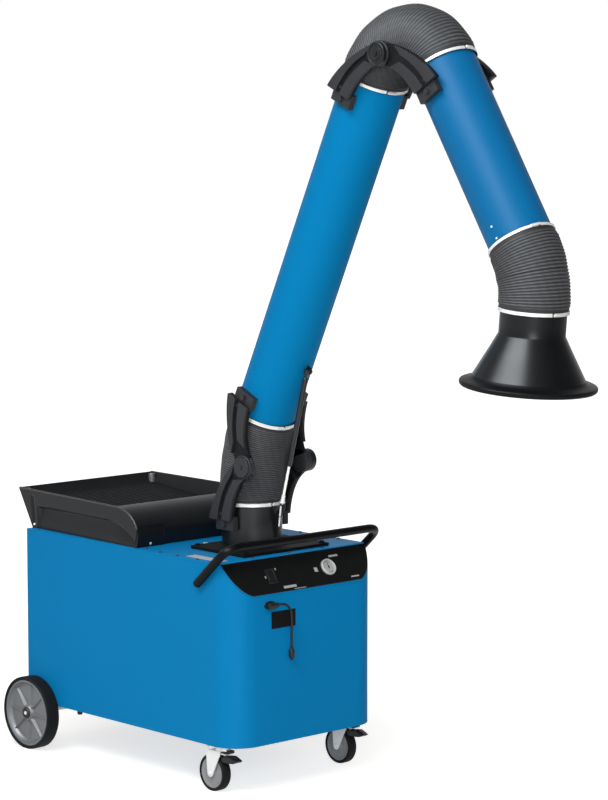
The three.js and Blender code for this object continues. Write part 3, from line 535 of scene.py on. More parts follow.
HANDLE_RADIUS, HANDLE_BEND, HANDLE_STEPS = 14, 60, 16
HANDLE_Y = HALF + HANDLE_RADIUS + GAP
corners = [Vector(p) for p in ((125, -HANDLE_Y, 690), (275, -HANDLE_Y, 823), (275, HANDLE_Y, 823),
                               (125, HANDLE_Y, 690))]
path = [corners[0]]
for i in (1, 2):
    before = corners[i] + (corners[i - 1] - corners[i]).normalized() * HANDLE_BEND
    after = corners[i] + (corners[i + 1] - corners[i]).normalized() * HANDLE_BEND
    for k in range(HANDLE_STEPS + 1):
        t = k / HANDLE_STEPS
        path.append(before.lerp(corners[i], t).lerp(corners[i].lerp(after, t), t))
path.append(corners[3])
bar = Solid().tube(path, HANDLE_RADIUS, 40)
for end, beyond in ((path[0], path[1]), (path[-1], path[-2])):
    bar.turned([(13.6, -2), (12.4, 2), (9, 3.4), (0, 3.6)], facing(end, end - beyond), 40)
make("handle_bar", bar, handle_black, "chassis", "push_handle", slot="black_paint", sharp=40)

# Tool tray

RIM_REAR, RIM_Z, CREST_X, CREST_Z, NOSE_X, NOSE_Z = -880, 898, -330, 892, -203, 822
WELL_REAR, WELL_FRONT, WELL_REAR_Z, WELL_FRONT_Z, WELL_TOP, LIP_X = -850, -352, 866, 818, 893, -334
SEAT_REAR, SEAT_FRONT, SEAT_Z, WALL_BEND_X, WALL_BEND_Z = -800, -216, TOP + 0.4, -206, 805
TRAY_HALF, TRAY_TAPER, TRAY_WALL, WELL_SLOPE = 324, 0.07, 5.5, 27 / 23
ARCH_X, ARCH_Z, RECESS, RECESS_REAR, RECESS_FRONT = -373, 846, 14, (-772, -758), (-222, -207)
GROOVE_X, GROOVE_DEPTH, GROOVE_WIDTH = -787, 5, 6
NOSE_CURVE = bezier((CREST_X, CREST_Z), (-258, CREST_Z), (-215, 862), (NOSE_X, NOSE_Z), 18)


def tray_half(x):
    return TRAY_HALF * (1 - TRAY_TAPER * (NOSE_X - x) / (NOSE_X - RIM_REAR))


def well_z(x):
    """Height of the tray's inside: its rear slope, then its floor."""
    if x < WELL_REAR:
        return WELL_REAR_Z + (WELL_REAR - x) * WELL_SLOPE
    return mix(WELL_REAR_Z, WELL_FRONT_Z, (x - WELL_REAR) / (WELL_FRONT - WELL_REAR))


def well_inset(x, z):
    """How far the inside stands in from the outer wall: the walls lean inwards on their way down."""
    return TRAY_WALL + 14 * max(0.0, min(1.0, (WELL_TOP - z) / (WELL_TOP - min(well_z(x), 880))))


def tray_recess(x, z):
    """How far the lower side wall stands in, under its arched upper band."""
    arch = ARCH_Z - 0.0023 * max(0, x - ARCH_X) ** 2
    across = smooth_step(*RECESS_REAR, x) * (1 - smooth_step(*RECESS_FRONT, x))
    inside = 1 - smooth_step(arch - 8, arch + 1, z)
    return RECESS * across * inside * (0.3 + 0.7 * smooth_step(770, arch, z))


def tray_groove(x, z):
    """The upright groove between the rear post and the side wall."""
    off = x - GROOVE_X + 0.12 * (z - TOP)
    return GROOVE_DEPTH * math.exp(-(off / GROOVE_WIDTH) ** 2) * (1 - smooth_step(872, 884, z))


EDGE_STEPS, WALL_STEPS = 130, 56
tray = Solid()
top_edge = [(mix(RIM_REAR, CREST_X, i / EDGE_STEPS), mix(RIM_Z, CREST_Z, i / EDGE_STEPS))
            for i in range(EDGE_STEPS)]
top_edge += NOSE_CURVE
last = len(top_edge) - 1
low_edge = [(mix(SEAT_REAR, SEAT_FRONT, i / last), SEAT_Z) for i in range(last + 1)]
for side in (-1, 1):
    rows = []
    for k in range(WALL_STEPS + 1):
        row = []
        for (x0, z0), (x1, z1) in zip(low_edge, top_edge):
            x, z = mix(x0, x1, k / WALL_STEPS), mix(z0, z1, k / WALL_STEPS)
            row.append((x, side * (tray_half(x) - tray_recess(x, z) - tray_groove(x, z)), z))
        rows.append(row)
    for inset, rise in ((1.2, 1.8), (4.2, 1.8), (TRAY_WALL, -0.5)):
        rows.append([(x, side * (tray_half(x) - inset), z + rise) for x, z in top_edge])
    tray.grid(rows)
    behind_lip = [x for x, z in top_edge if x < LIP_X]
    tray.grid([rows[-1][:len(behind_lip)],
               [(x, side * (tray_half(x) - well_inset(x, well_z(x))), well_z(x)) for x in behind_lip]])

rim_line = [(RIM_REAR, RIM_Z - 3), (RIM_REAR + 0.5, RIM_Z + 1.2), (RIM_REAR + 4.5, RIM_Z + 1.2)]
rear_line = [(SEAT_REAR, SEAT_Z), (-840, 830)] + rim_line
lip = (LIP_X, 891)
well_line = [rim_line[-1], (-873, WELL_TOP), (-853, 869.5), (-848, WELL_REAR_Z), (-780, well_z(-780)),
             (WELL_FRONT, WELL_FRONT_Z), (-348, 822), (-338, 884), lip]
front_line = [lip] + NOSE_CURVE + [(WALL_BEND_X, WALL_BEND_Z), (SEAT_FRONT, SEAT_Z)]
SPAN = [-1, -0.8, -0.4, 0, 0.4, 0.8, 1]
for profile in (rear_line, front_line):
    tray.grid([[(x, (tray_half(x) - 0.6) * s, z) for s in SPAN] for x, z in profile])
well = Solid().grid([[(x, (tray_half(x) - well_inset(x, z)) * s, z) for s in SPAN] for x, z in well_line])
make("tray_well", well, well_black, "chassis", sharp=38)
make("tray_shell", tray, tray_black, "chassis", "tool_tray", sharp=38)
bead = Solid()
for side in (-1, 1):
    bead.tube([(x, side * (tray_half(x) - 2.6), z + 0.6) for x, z in top_edge[1:-1:2]], 3.2, 16)
# Lighter than the shell: painted highlight on the bead
make("tray_bead", bead, bead_painted_highlight_black, "chassis")

RIBS, RIB_STEP = 19, 29
ribs = Solid()
for k in range(RIBS):
    y = RIB_STEP * (k - (RIBS - 1) / 2)
    sections = []
    for x, rise in ((-800, 0.4), (-792, 3.4), (-420, 3.4), (-412, 0.4)):
        z = well_z(x)
        sections.append([(x, y - 5, z - 1), (x, y - 3, z + rise), (x, y + 3, z + rise), (x, y + 5, z - 1)])
    ribs.loft(sections)
make("tray_ribs", ribs, well_black, "chassis", bevel=1)


def front_wall_x(z):
    if z < WALL_BEND_Z:
        return mix(SEAT_FRONT, WALL_BEND_X, (z - TOP) / (WALL_BEND_Z - TOP))
    return mix(WALL_BEND_X, NOSE_X, (z - WALL_BEND_Z) / (NOSE_Z - WALL_BEND_Z))


LOBE_LOW, LOBE_ROWS, LOBE_STEP, LOBE_INNER, LOBE_OUTER, LOBE_SPANS = 766, 19, 4, 186, 322, 30
lobes = Solid()
for side in (-1, 1):
    rows = []
    for i in range(LOBE_ROWS):
        z = LOBE_LOW + LOBE_STEP * i
        swell = 1 + 8 * (1 - smooth_step(792, 836, z))
        inner = LOBE_INNER + 0.33 * (z - LOBE_LOW)
        spans = [mix(inner, LOBE_OUTER, j / LOBE_SPANS) for j in range(LOBE_SPANS + 1)]
        wall = front_wall_x(z) - 1
        rows.append([(wall + swell * smooth_step(inner, inner + 9, y), side * y, z) for y in spans])
    lobes.grid(rows)
    for edge, sink in ((rows[0], 2), ([row[-1] for row in rows], 3)):
        lobes.grid([edge, [(front_wall_x(z) - sink, y, z) for x, y, z in edge]])
make("tray_lobes", lobes, tray_black, "chassis", sharp=60)
POST_X, SCREW_X = -855, -790
posts, tray_screws = Solid(), Solid()
for side in (-1, 1):
    foot = at(POST_X, side * (tray_half(POST_X) - 20), 0)
    posts.turned([(12, 858), (12, 893), (10, 896), (0, 896.5)], foot, 32)
    tray_screws.screw(at(SCREW_X, side * (tray_half(SCREW_X) - 1), 778) @ turn("X", -90 * side), 5, 3)
    tray_screws.screw(at(-207, side * 262, 776) @ turn("Y", 90), 5, 4)
make("tray_posts", posts, post_painted_highlight_grey, "chassis")
make("tray_screws", tray_screws, zinc, "chassis", slot="zinc")

# Wheels

SPOKES, SPOKE_START = 8, 41


def rear_wheel(name, side):
    body = f"rear_wheel_{name}"
    hub = at(REAR_X, side * REAR_Y, REAR_Z) @ turn("X", -90 * side)
    tyre = Solid().turned(both_faces([
        (127, 18), (126.4, 23.5), (124.5, 25.4), (120, 24.6), (115, 22)]), hub, 96)
    make(f"tyre_{name}", tyre, tyre_black, body, f"rear_tyre_{name}", slot="tyre", sharp=50)
    disc = Solid().turned([
        (12.7, -18), (26, -18), (30, -8), (102, -8), (106, -18), (114.6, -18), (114.6, 22), (112, 23.4),
        (108.5, 22.5), (106, 17), (101, 9), (97, 6.5), (36, 6.5), (30, 9), (26, 19), (23.5, 21), (12.7, 21)],
        hub, 96)
    for k in range(SPOKES):
        spoke = hub @ turn("Z", SPOKE_START + 360 / SPOKES * k)
        disc.loft([[(r, -w, 6), (r, -w * 0.2, h), (r, w * 0.2, h), (r, w, 6)] for r, w, h in
                   ((25, 8, 18), (62, 6.5, 15), (103, 5.5, 13))], spoke)
    make(f"rim_{name}", disc, wheel_grey, body, f"rear_rim_{name}", slot="wheel_grey", sharp=32)
    cap = Solid().turned([
        (12.7, 21.2), (20, 21.2), (20, 23), (18, 25.4), (9, 25.4), (8, 24), (0, 24)], hub, 48)
    make(f"hub_ring_{name}", cap, knob_black, body)
    nut = Solid().prism(hexagon(7), 23.8, 27, hub)
    make(f"hub_nut_{name}", nut, zinc, body, slot="zinc", bevel=0.8)


def caster_set(name, side):
    post = at(CASTER_X, side * CASTER_Y, 0)
    swivel, roller = f"caster_{name}", f"caster_roller_{name}"
    plate = Solid().box(-46, 46, -34, 34, BOTTOM - 5.3, BOTTOM - GAP, post)
    make(f"caster_top_{name}", plate, zinc, "chassis", f"caster_plate_{name}", slot="zinc", bevel=1.2)
    nuts = Solid().turned([(0, 141), (24, 141), (26, 144), (27, 150), (27, 155), (0, 155)], post, 48)
    for x in (-36, 36):
        for y in (-25, 25):
            nuts.bolt(post @ at(x, y, BOTTOM - 5.4) @ turn("X", 180), 7.5, 6)
    make(f"caster_nuts_{name}", nuts, zinc, "chassis", slot="zinc", bevel=0.5)

    rear_edge = bezier((-38, 140.4), (-54, 140), (-60, 136), (-59, 122), 8)
    foot = [(13.5 * math.cos(a) - TRAIL, 13.5 * math.sin(a) + CASTER_Z) for a in arc(180, 160, 14)]
    leg = rear_edge + foot + [(3, 117), (9, 126), (9, 140.4)]
    fork = Solid()
    for y0, y1 in ((19, 23), (-23, -19)):
        fork.plate(leg, y0, y1, post)
    fork.loft([[(x, y, z) for x in (-40, 9)] + [(x, y, z - 6) for x in (9, -40)] for y, z in
               ((-22.8, 137), (-19, 140.4), (19, 140.4), (22.8, 137))], post)
    fork.box(0, 33, -20, 20, 130.5, 134, post)
    for y, way in ((23, -90), (-23, 90)):
        fork.bolt(post @ at(-TRAIL, y, CASTER_Z) @ turn("X", way), 6, 3)
    make(f"caster_yoke_{name}", fork, zinc, swivel, f"caster_fork_{name}", slot="zinc", sharp=40, bevel=1)
    housing = Solid().box(9.4, 38, -17, 17, 134.2, 144, post)
    make(f"caster_brake_housing_{name}", housing, knob_black, swivel, bevel=1.5)

    axle = post @ at(-TRAIL, 0, CASTER_Z) @ ALONG_Y
    tread = Solid().turned(both_faces([(62, 7), (61.6, 14), (59.5, 16.8), (55, 17), (51, 15.5)]), axle, 72)
    make(f"caster_tread_{name}", tread, tyre_black, roller, f"caster_wheel_{name}", slot="tyre")
    disc = Solid().turned(both_faces([
        (51.4, 15), (46, 14.5), (42, 11.5), (19, 13), (16, 16.6), (7, 16.6)]), axle, 72)
    make(f"caster_disc_{name}", disc, disc_grey, roller, slot="wheel_grey")

    sections = []
    for x, top, low, w in ((6, 121, 112, 15), (12, 122.4, 106, 16), (28, 126, 104.9, 17),
                           (50, 128, 105.5, 17), (68, 121.2, 108, 16.5), (81, 117.4, 115.2, 14)):
        outline = ((-w, low), (-w, top - 2), (3 - w, top), (w - 3, top), (w, top - 2), (w, low))
        sections.append([(x, y, z) for y, z in outline])
    pedal = Solid().loft(sections, post)
    make(f"caster_pedal_pad_{name}", pedal, knob_black, f"caster_pedal_{name}", f"caster_brake_{name}",
         bevel=0.8)


for name, side in SIDES:
    rear_wheel(name, side)
    caster_set(name, side)

# Arm base

TUBE_LAP, TUBE_WALL, COLLAR_WALL = 18, 2, 5
EAR_X, EAR_Z, EAR_NEAR, EAR_FAR, BALL_X, BALL_Z = 12, 358, 10.5, 16, 162, 929
base = Solid().box(-84, 186, -190, 190, TOP + 0.3, PLATE_TOP)
for x in (-68, 170):
    for y in (-172, 172):
        base.bolt(at(x, y, PLATE_TOP), 8.5, 5)
make("swivel_plate", base, plate_black, "chassis", "arm_base_plate", slot="black_paint", bevel=1.2)
bright = Solid()
for y in (-110, 110):
    bright.bolt(at(-100, y, TOP), 7.5, 8)
make("base_bolts", bright, zinc, "chassis", slot="zinc", bevel=0.6)

low, high = PLATE_TOP + 0.4, COLLAR_TOP + TUBE_LAP
collar = Solid().turned([(DUCT - COLLAR_WALL, low), (DUCT, low), (DUCT, high), (DUCT - COLLAR_WALL, high)],
                        at(SWIVEL_X, 0, 0), 96)
collar.plate([(100, 800), (113, 800), (137, 870), (161, 905), (163, 938), (141, 940), (135, 908), (114, 880),
              (100, 878)], EAR_NEAR, EAR_FAR)
collar.bolt(at(154, EAR_FAR, BALL_Z) @ ALONG_Y, 6, 4)
make("swivel_tube", collar, paint_black, "turret", "swivel_collar", slot="black_paint", bevel=1)
stud = Solid().tube([(148, 7, 914), (143, 7, 879)], 3.2, 20).tube([(142.6, 7, 876), (138.4, 7, 845)], 2.8, 20)
make("strut_stud", stud, band_steel, "turret", slot="zinc")

# Arm tubes

for name, nodes, place, start, end, look_of in (
        ("lower", ("lower_tube", "lower_tube_extension"), LOWER, LOWER_START, LOWER_END, tube_blue),
        ("upper", ("upper_tube",), UPPER, UPPER_START, UPPER_END, upper_tube_painted_shade_blue)):
    low, high = start - TUBE_LAP, end + TUBE_LAP
    outside = [(DUCT, z) for z in (low, start + 40, (start + end) / 2, end - 40, high)]
    profile = [(DUCT - TUBE_WALL, low), *outside, (DUCT - TUBE_WALL, high)]
    tube = Solid().turned(profile, place @ at(-OFFSET, 0, 0), 128)
    make(f"{name}_arm_tube", tube, look_of, f"{name}_arm", *nodes, slot="blue_tube")

ear = Solid().plate([(-8, 344), (12, 344), (19, 351), (19, 365), (12, 372), (-8, 372)], EAR_NEAR, EAR_FAR,
                    LOWER)
ear.bolt(LOWER @ at(EAR_X, EAR_FAR, EAR_Z) @ ALONG_Y, 6, 4)
make("strut_ear", ear, paint_black, "lower_arm", slot="black_paint", bevel=0.8)
rivets = Solid()
for along in (676, 716):
    rivets.screw(UPPER @ at(-OFFSET, -DUCT, along) @ turn("X", 90), 3.6, 2)
make("tube_rivets", rivets, band_steel, "upper_arm", slot="zinc")


def inner_fork(reach, bar_z, tip_z):
    """Outline of a crossbar in a duct, with two prongs that reach to tip_z."""
    bar = bar_z + math.copysign(9, tip_z - bar_z)
    right = [(reach, bar_z), (reach, bar), (76, bar), (76, tip_z), (68.5, tip_z), (68.5, bar)]
    return right + [(-y, z) for y, z in reversed(right)]


prongs = Solid().loft([[(x, y, z) for y, z in inner_fork(DUCT - 1, 685, 856)] for x in (-10, 10)],
                      UPPER @ at(-OFFSET, 0, 0))
make("nose_fork", prongs, zinc, "upper_arm", slot="zinc", bevel=1)

# Knuckles

ARM_OUTER = bezier((38, -14), (85, 20), (150, 110), (168, 187), 24)
ARM_INNER = bezier((-10, 38), (40, 70), (60, 130), (66, 187), 24)
GROOVE_OUTER = bezier((58, 33), (87, 62), (119, 119), (127, 187), 24)
GROOVE_INNER = bezier((46, 46), (70, 79), (100, 126), (107, 187), 24)
INNER_Y, FOOT_Y, SEAM_Y, WEB_Y, OUTER_Y = 116, 124, 127, 128.6, 138
FOOT_NEAR, FOOT_FAR, FOOT_LOW, FOOT_HIGH, BOSS = 62, 148, 176, 222, 40


def knuckle(name, node, place, side, out, body):
    """A cast half joint: a web with two ribs, a boss at the pivot and a foot bolted to the tube.

    out is 1 for the outer half of a pair and -1 for the inner one, which bends the other way.
    """
    spin = turn("X", -90 * side)
    is_outer = out == 1

    def section(a, b, low, high):
        return [(out * p[0], side * y, p[1]) for p, y in ((a, low), (a, high), (b, high), (b, low))]

    web = []
    for a, b in zip(ARM_OUTER, ARM_INNER):
        near = 1 - smooth_step(54, 66, (a + b).length / 2)
        low = mix(INNER_Y, SEAM_Y + GAP if is_outer else INNER_Y, near)
        high = mix(WEB_Y, OUTER_Y - 3 if is_outer else SEAM_Y - GAP, near)
        web.append(section(a, b, low, high))
    # The web takes the darker material: painted shade in the groove
    make(f"{name}_web", Solid().loft(web, place), web_painted_shade_black, body, slot="black_cast", sharp=30)
    first = 0 if is_outer else 5
    solid = Solid()
    for left, right in ((ARM_OUTER, GROOVE_OUTER), (GROOVE_INNER, ARM_INNER)):
        strip = [section(a, b, WEB_Y - 3 + 2 * is_outer, OUTER_Y) for a, b in zip(left, right)]
        solid.loft(strip[first:], place)
    y0, y1 = (SEAM_Y + GAP, OUTER_Y) if is_outer else (INNER_Y, SEAM_Y - GAP)
    boss = [(0, y0), (BOSS - 1, y0), (BOSS, y0 + 1), (BOSS, y1 - 1.5), (BOSS - 1.5, y1), (0, y1)]
    solid.turned(boss, place @ spin)
    x0, x1 = sorted((FOOT_NEAR * out, FOOT_FAR * out))
    y0, y1 = sorted((side * (DUCT + 0.5), side * FOOT_Y))
    solid.box(x0, x1, y0, y1, FOOT_LOW, FOOT_HIGH, place)
    solid.bolt(place @ at(OFFSET * out, side * FOOT_Y, 203) @ spin, 9.5, 6)
    solid.bolt(place @ at(117 * out, side * (WEB_Y - 1), 168) @ spin, 4, 4)
    make(name, solid, cast_black, body, node, slot="black_cast", sharp=50, bevel=1.6)


def clamp_knob(name, node, place, side, body, face):
    """A turned clamping knob, its outer face at the given distance from the arm's middle."""
    spin = place @ turn("X", -90 * side)
    knob = Solid().turned([
        (0, OUTER_Y + GAP), (36, OUTER_Y + GAP), (38, OUTER_Y + 2), (38, face - 5), (36.6, face - 1.2),
        (34, face), (31.5, face - 0.8), (30, face - 3.4), (22, face - 3.4), (20.6, face - 2),
        (19.6, face + 1.2), (17, face + 2), (0, face + 2)], spin, 72)
    knob.prism(hexagon(9.5), face + 1.5, face + 6, spin)
    make(name, knob, knob_black, body, node, sharp=40, bevel=0.6)


def clamp_cap(name, node, place, side, body):
    """The flat cap with a bolt's head that closes the near side of the shoulder."""
    spin = place @ turn("X", -90 * side)
    low = OUTER_Y + 0.2
    cap = Solid().turned([(0, low), (35, low), (35, 143), (33, 145.6), (0, 146)], spin, 72)
    cap.prism(hexagon(8), 145.5, 149, spin)
    make(name, cap, cast_black, body, node, sharp=40, bevel=0.6)


for name, side in SIDES:
    for part, place, out, body in (
            ("base", BASE_JOINT, 1, "turret"), ("shoulder", LOWER, -1, "lower_arm"),
            ("elbow", ELBOW_JOINT, 1, "lower_arm"), ("forearm", UPPER, -1, "upper_arm")):
        knuckle(f"{part}_casting_{name}", f"{part}_knuckle_{name}", place, side, out, body)
    clamp_knob(f"elbow_grip_{name}", f"elbow_knob_{name}", ELBOW_JOINT, side, "lower_arm", face=152)
clamp_knob("shoulder_grip_left", "shoulder_knob_left", BASE_JOINT, 1, "turret", face=164)
clamp_cap("shoulder_cap_right", "shoulder_knob_right", BASE_JOINT, -1, "turret")

# Hood

BELL_OUTER, BELL_INNER = (172, -313), (170.4, -319.2)
bell = Solid().turned([
    (DUCT - 3, -98), (DUCT, -98), (DUCT, -150), (DUCT, -181), (DUCT + 0.7, -183), (DUCT + 1.6, -185),
    (126, -228.6), (150, -272.6), BELL_OUTER, BELL_INNER, (98.6, -185), (DUCT - 3, -181)], HOOD, 128)
bell.loft([[(x, y, z) for x, z in inner_fork(DUCT - 3, -134, 12)] for y in (-10, 10)], HOOD)
make("hood_bell", bell, hood_black, "hood", "hood", sharp=24)
brim = Solid().turned([
    BELL_OUTER, (176, -319), (181, -323), (192, -326), (203, -328), (208, -330), (210.2, -333),
    (210.6, -337), (209, -342.5), (205.5, -345.5), (200, -346), (188, -346), (186.6, -344), (186.6, -334),
    (173, -324), BELL_INNER], HOOD, 128)
make("hood_brim", brim, brim_black, "hood", sharp=24)

# Hoses, each on the CAD source's path, with a helical rib, shared between the bodies that it joins

CUFF, CREST, CUFF_LENGTH, AROUND, PER_RIB, BEND_STEPS = 106.5, 110.2, 20, 96, 6, 400


def hose_line(start, start_way, end, end_way, pull, count):
    """Points, ways and distances along a hose, straight in its cuffs and bent between them."""
    a, b = start + start_way * CUFF_LENGTH, end - end_way * CUFF_LENGTH
    bend = bezier(a, a + start_way * pull, b - end_way * pull, b, BEND_STEPS)
    lengths = [0]
    for p, q in zip(bend, bend[1:]):
        lengths.append(lengths[-1] + (q - p).length)
    points = [(start + start_way * CUFF_LENGTH * t, start_way, CUFF_LENGTH * (t - 1)) for t in (0, 0.5)]
    k = 0
    for i in range(count + 1):
        want = lengths[-1] * i / count
        while k < len(bend) - 2 and lengths[k + 1] < want:
            k += 1
        share = (want - lengths[k]) / (lengths[k + 1] - lengths[k])
        way = (bend[min(k + 2, BEND_STEPS)] - bend[max(k - 1, 0)]).normalized()
        points.append((bend[k].lerp(bend[k + 1], share), way, want))
    for t in (0.5, 1):
        points.append((end - end_way * CUFF_LENGTH * (1 - t), end_way, lengths[-1] + CUFF_LENGTH * t))
    return points, lengths[-1]


def hose(name, node, ends, pull, pitch, joints):
    """joints lists each blend: body a, body b, and the shares of the bend where it starts and ends."""
    ribs = 2 * round(hose_line(*ends, pull, 10)[1] / pitch / 2)
    stations, length = hose_line(*ends, pull, ribs * PER_RIB)
    rib_length = length / ribs
    lap = 2.5 * rib_length / PER_RIB
    for index, (a, b, first, last) in enumerate(joints):
        low, high = first * length, last * length
        used = [s for s in stations if (first == 0 or s[2] > low - lap) and (last == 1 or s[2] < high + lap)]
        rows, painted_crest_highlights, weights = [], [], []
        for point, way, along in used:
            normal = LEFT.cross(way).normalized()
            inside = smooth_step(0, rib_length, along) * smooth_step(0, rib_length, length - along)
            tuck = 0.4 if first and along < low - 0.01 else 0
            row = []
            for angle in circle(AROUND):
                rib = (0.5 + 0.5 * math.cos(2 * math.pi * along / rib_length - angle)) ** 0.8
                uneven = 0.4 * math.sin(3 * angle + 0.11 * along) + 0.4 * math.sin(7 * angle - 0.063 * along)
                radius = CUFF + inside * ((CREST - CUFF) * rib + uneven) - tuck
                row.append(point + radius * (math.cos(angle) * normal + math.sin(angle) * LEFT))
                # Painted highlight: how far each point sits on a rib's crest, with a little tone that varies
                # along it
                painted_crest_highlights.append(inside * rib ** 1.5 * (0.8 + 0.2 * math.sin(23 * angle + 0.9 * along)))
            rows.append(row)
            weights += [smooth_step(low, high, along)] * AROUND
        piece_name = name if len(joints) == 1 else f"{name}_{index + 1}"
        mesh = mesh_of(piece_name, Solid().grid(rows, close_columns=True), hose_grey)
        mesh.attributes.new("painted_crest_highlight", "FLOAT", "POINT").data.foreach_set("value", painted_crest_highlights)
        piece = link(piece_name, mesh)
        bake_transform(piece, a, b, start=ROW @ used[0][0], end=ROW @ used[-1][0])
        mesh.attributes["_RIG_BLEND"].data.foreach_set("value", weights)
        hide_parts(node)


collar_end = Vector((SWIVEL_X, 0, COLLAR_TOP))
lower_start, lower_end = [LOWER @ Vector((-OFFSET, 0, z)) for z in (LOWER_START, LOWER_END)]
upper_start, upper_end = [UPPER @ Vector((-OFFSET, 0, z)) for z in (UPPER_START, UPPER_END)]
neck_end = HOOD @ Vector((0, 0, -116))
lower_way, upper_way, hood_way = [turn("Y", a) @ UP for a in (LEAN, 180 - FORE_LEAN, 180 + HOOD_TILT)]
hose("shoulder_hose", "lower_hose", (collar_end, UP, lower_start, lower_way), 95, 7.6,
     [("turret", "lower_arm", 0, 1)])
hose("elbow_bend_hose", "elbow_hose", (lower_end, lower_way, upper_start, upper_way), 134, 8,
     [("lower_arm", "upper_arm", 0, 1)])
hose("nose_bend_hose", "nose_hose", (upper_end, upper_way, neck_end, hood_way), 66, 7.6,
     [("upper_arm", "nose_gimbal", 0, 0.5), ("nose_gimbal", "hood", 0.5, 1)])

# Band clamps

SLIT_HALF = 2.2


def band(part, end, way, slit, wide, body):
    """A worm-drive band over the end of a hose. way points into the hose and slit is the gap's angle."""
    axes = Matrix((LEFT.cross(way), LEFT, way)).transposed().to_4x4()
    place = Matrix.Translation(end) @ axes @ turn("Z", slit)
    profile = [(106.8, 1.5), (108.4, 1.5), (109.2, 2.4), (108.9, 3.6), (108.9, wide - 0.6),
               (109.2, wide + 0.6), (108.4, wide + 1.5), (106.8, wide + 1.5)]
    strip = Solid().loft([[(*polar(r, a), h) for r, h in profile]
                          for a in arc(SLIT_HALF, 360 - 2 * SLIT_HALF, 120)], place)
    make(f"{part}_band", strip, band_steel, body, f"{part}_clamp", slot="zinc", sharp=50)
    middle = 1.5 + wide / 2
    shell = [(107.5, -5.5), (112, -4.5), (114.5, -2.5), (114.5, 2.5), (112, 4.5), (107.5, 5.5)]
    worm = Solid().loft([[(*polar(r, a), middle + h) for r, h in shell] for a in arc(3, 13, 8)], place)
    head = place @ turn("Z", SLIT_HALF) @ at(112, 0, middle) @ turn("X", 90)
    worm.turned([(0, 0), (4.2, 0), (4.2, 4.5), (3, 5), (0, 5)], head, 24)
    make(f"{part}_band_worm", worm, zinc, body, slot="zinc", bevel=0.5)


for clamp in (
        ("collar", collar_end, UP, -3.4, 12, "turret"),
        ("lower_tube", lower_start, -lower_way, 183, 12, "lower_arm"),
        ("elbow_lower", lower_end, lower_way, -20, 10.5, "lower_arm"),
        ("elbow_upper", upper_start, -upper_way, -1, 9.5, "upper_arm"),
        ("nose_upper", upper_end, upper_way, 191, 9, "upper_arm"),
        ("nose_lower", neck_end, -hood_way, -14, 11, "hood")):
    band(*clamp)

# Gas strut

BORE_BOTTOM, ROD_START = 150, 210
strut_top = LOWER @ Vector((EAR_X, 0, EAR_Z))
run = Vector((BALL_X, 0, BALL_Z)) - strut_top
STRUT = facing(strut_top, run)
reach = run.length
barrel = Solid().turned([
    (0, -9), (6, -9), (8.5, -7), (9, 0), (8, 7), (5.5, 12), (5.5, 20), (7.5, 22), (8.6, 25), (8.6, 322),
    (8, 327), (7, 330), (5.6, 330), (5.6, BORE_BOTTOM), (0, BORE_BOTTOM)], STRUT, 40)
make("strut_barrel", barrel, paint_black, "gas_strut", "strut_cylinder", slot="black_paint", sharp=40)
plunger = Solid().turned([
    (0, ROD_START), (4.6, ROD_START), (4.6, reach - 26), (6.4, reach - 25), (6.4, reach - 12), (6, reach - 9),
    (8.4, reach - 4), (9, reach), (8.4, reach + 4), (5, reach + 8), (0, reach + 9)], STRUT, 40)
make("strut_plunger", plunger, chrome, "gas_strut_rod", "strut_rod", slot="strut_rod", sharp=40)

# CAD pieces that show as they are

for node, look_of in (
        ("floor_pan", blue), ("filter_cartridge", filter_cream), ("fan_housing", zinc),
        ("fan_impeller", zinc), ("fan_motor", motor_grey), ("rear_axle", zinc), ("gimbal_ring", zinc)):
    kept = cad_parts[node]
    kept.data.materials.clear()
    kept.data.materials.append(look_of)

# Studio: a white room, lit by a softbox high on the left and one beside the camera


def calculate(tree, operation, a, b):
    return add_node(tree, "Math", {0: a, 1: b}, operation=operation)[0]


def seen_level(tree, mirrored):
    """The background's strength: 1 in the picture, the given value in reflections, 0 for lighting rays."""
    rays = add_node(tree, "LightPath", {})
    bounced = calculate(tree, "MAXIMUM", rays["Is Glossy Ray"], rays["Is Transmission Ray"])
    return calculate(tree, "MAXIMUM", rays["Is Camera Ray"], calculate(tree, "MULTIPLY", bounced, mirrored))


def rightward(tree, vector):
    """How far a vector goes to the right of the photograph."""
    right = (math.cos(azimuth), math.sin(azimuth), 0)
    return add_node(tree, "VectorMath", {0: vector, 1: right}, operation="DOT_PRODUCT")["Value"]


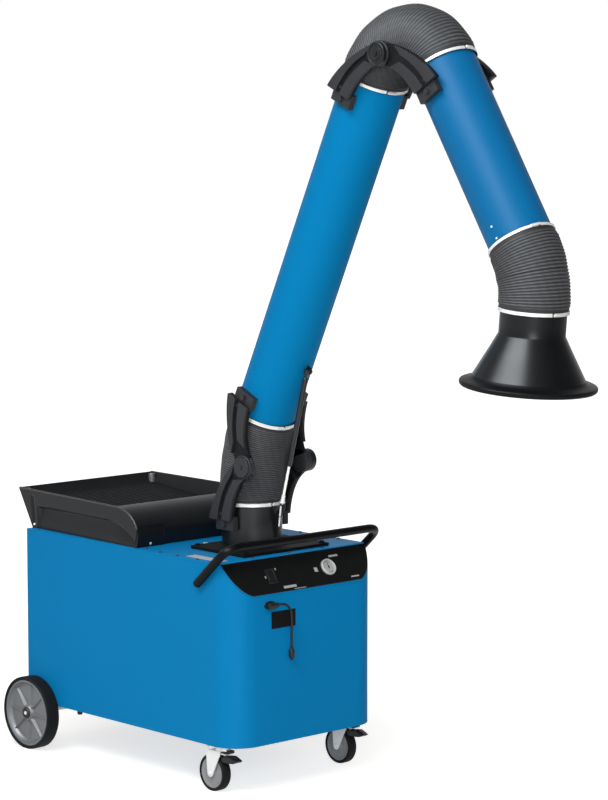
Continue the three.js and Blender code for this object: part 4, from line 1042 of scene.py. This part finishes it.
world = bpy.data.worlds.new("studio")
bpy.context.scene.world = world
world.use_nodes = True
tree = world.node_tree
way = add_node(tree, "TexCoord", {})["Generated"]
height, right = add_node(tree, "SeparateXYZ", {"Vector": way})["Z"], rightward(tree, way)
mirrored = calculate(tree, "MULTIPLY", remap(tree, height, 0.25, 0.75, 1, 0.3),
                     remap(tree, right, 0.35, 0.8, 1, 0.25))
mirrored = calculate(tree, "MULTIPLY", mirrored, remap(tree, right, -0.8, -0.35, 0.75, 1))
AMBIENT = 0.2
feed(tree, tree.nodes["Background"], {
    "Color": (1, 1, 1, 1), "Strength": calculate(tree, "MAXIMUM", seen_level(tree, mirrored), AMBIENT)})

floor_mesh = bpy.data.meshes.new("floor")
floor_mesh.from_pydata([(-60, -60, 0), (60, -60, 0), (60, 60, 0), (-60, 60, 0)], [], [[0, 1, 2, 3]])
floor = link("floor", floor_mesh)
floor.location = (-0.8, -0.2, 0)
pale = material("pale_floor", (0.7, 0.66, 0.6), 0.8, vary=0.01, bump=0.01, gloss=0.05)
floor_mesh.materials.append(pale)
tree = pale.node_tree
spot = add_node(tree, "TexCoord", {})["Object"]
away = add_node(tree, "VectorMath", {0: spot}, operation="LENGTH")["Value"]
strength = calculate(tree, "MULTIPLY", remap(tree, away, 0.5, 2.0, 0.68, 1),
                     seen_level(tree, remap(tree, rightward(tree, spot), 2.5, 6, 1, 0.2)))
glow = add_node(tree, "Emission", {"Strength": strength})["Emission"]
paint = tree.nodes["Principled BSDF"].outputs["BSDF"]
total = add_node(tree, "AddShader", {0: paint, 1: glow})["Shader"]
feed(tree, tree.nodes["Material Output"], {"Surface": total})


def softbox(name, place, target, width, height, power):
    light = bpy.data.lights.new(name, "AREA")
    light.shape, light.size, light.size_y, light.energy = "RECTANGLE", width, height, power
    lamp = link(name, light)
    lamp.location = place
    lamp.rotation_euler = (Vector(target) - Vector(place)).to_track_quat("-Z", "Y").to_euler()
    lamp.visible_camera = False
    return lamp


UNIT_MIDDLE = (0.2, 0, 1.2)
softbox("key", (1.4, -5.6, 7.1), UNIT_MIDDLE, 6.4, 2.8, 420)
# The sheen is seen in reflections alone
softbox("sheen", (0.3, -5.4, 7.2), (1.2, 0, 1.6), 7.5, 3.0, 950).visible_diffuse = False
softbox("front", (7.0, -5.7, 3.2), UNIT_MIDDLE, 3.0, 3.0, 330)
bpy.context.scene.view_settings.view_transform = "Standard"
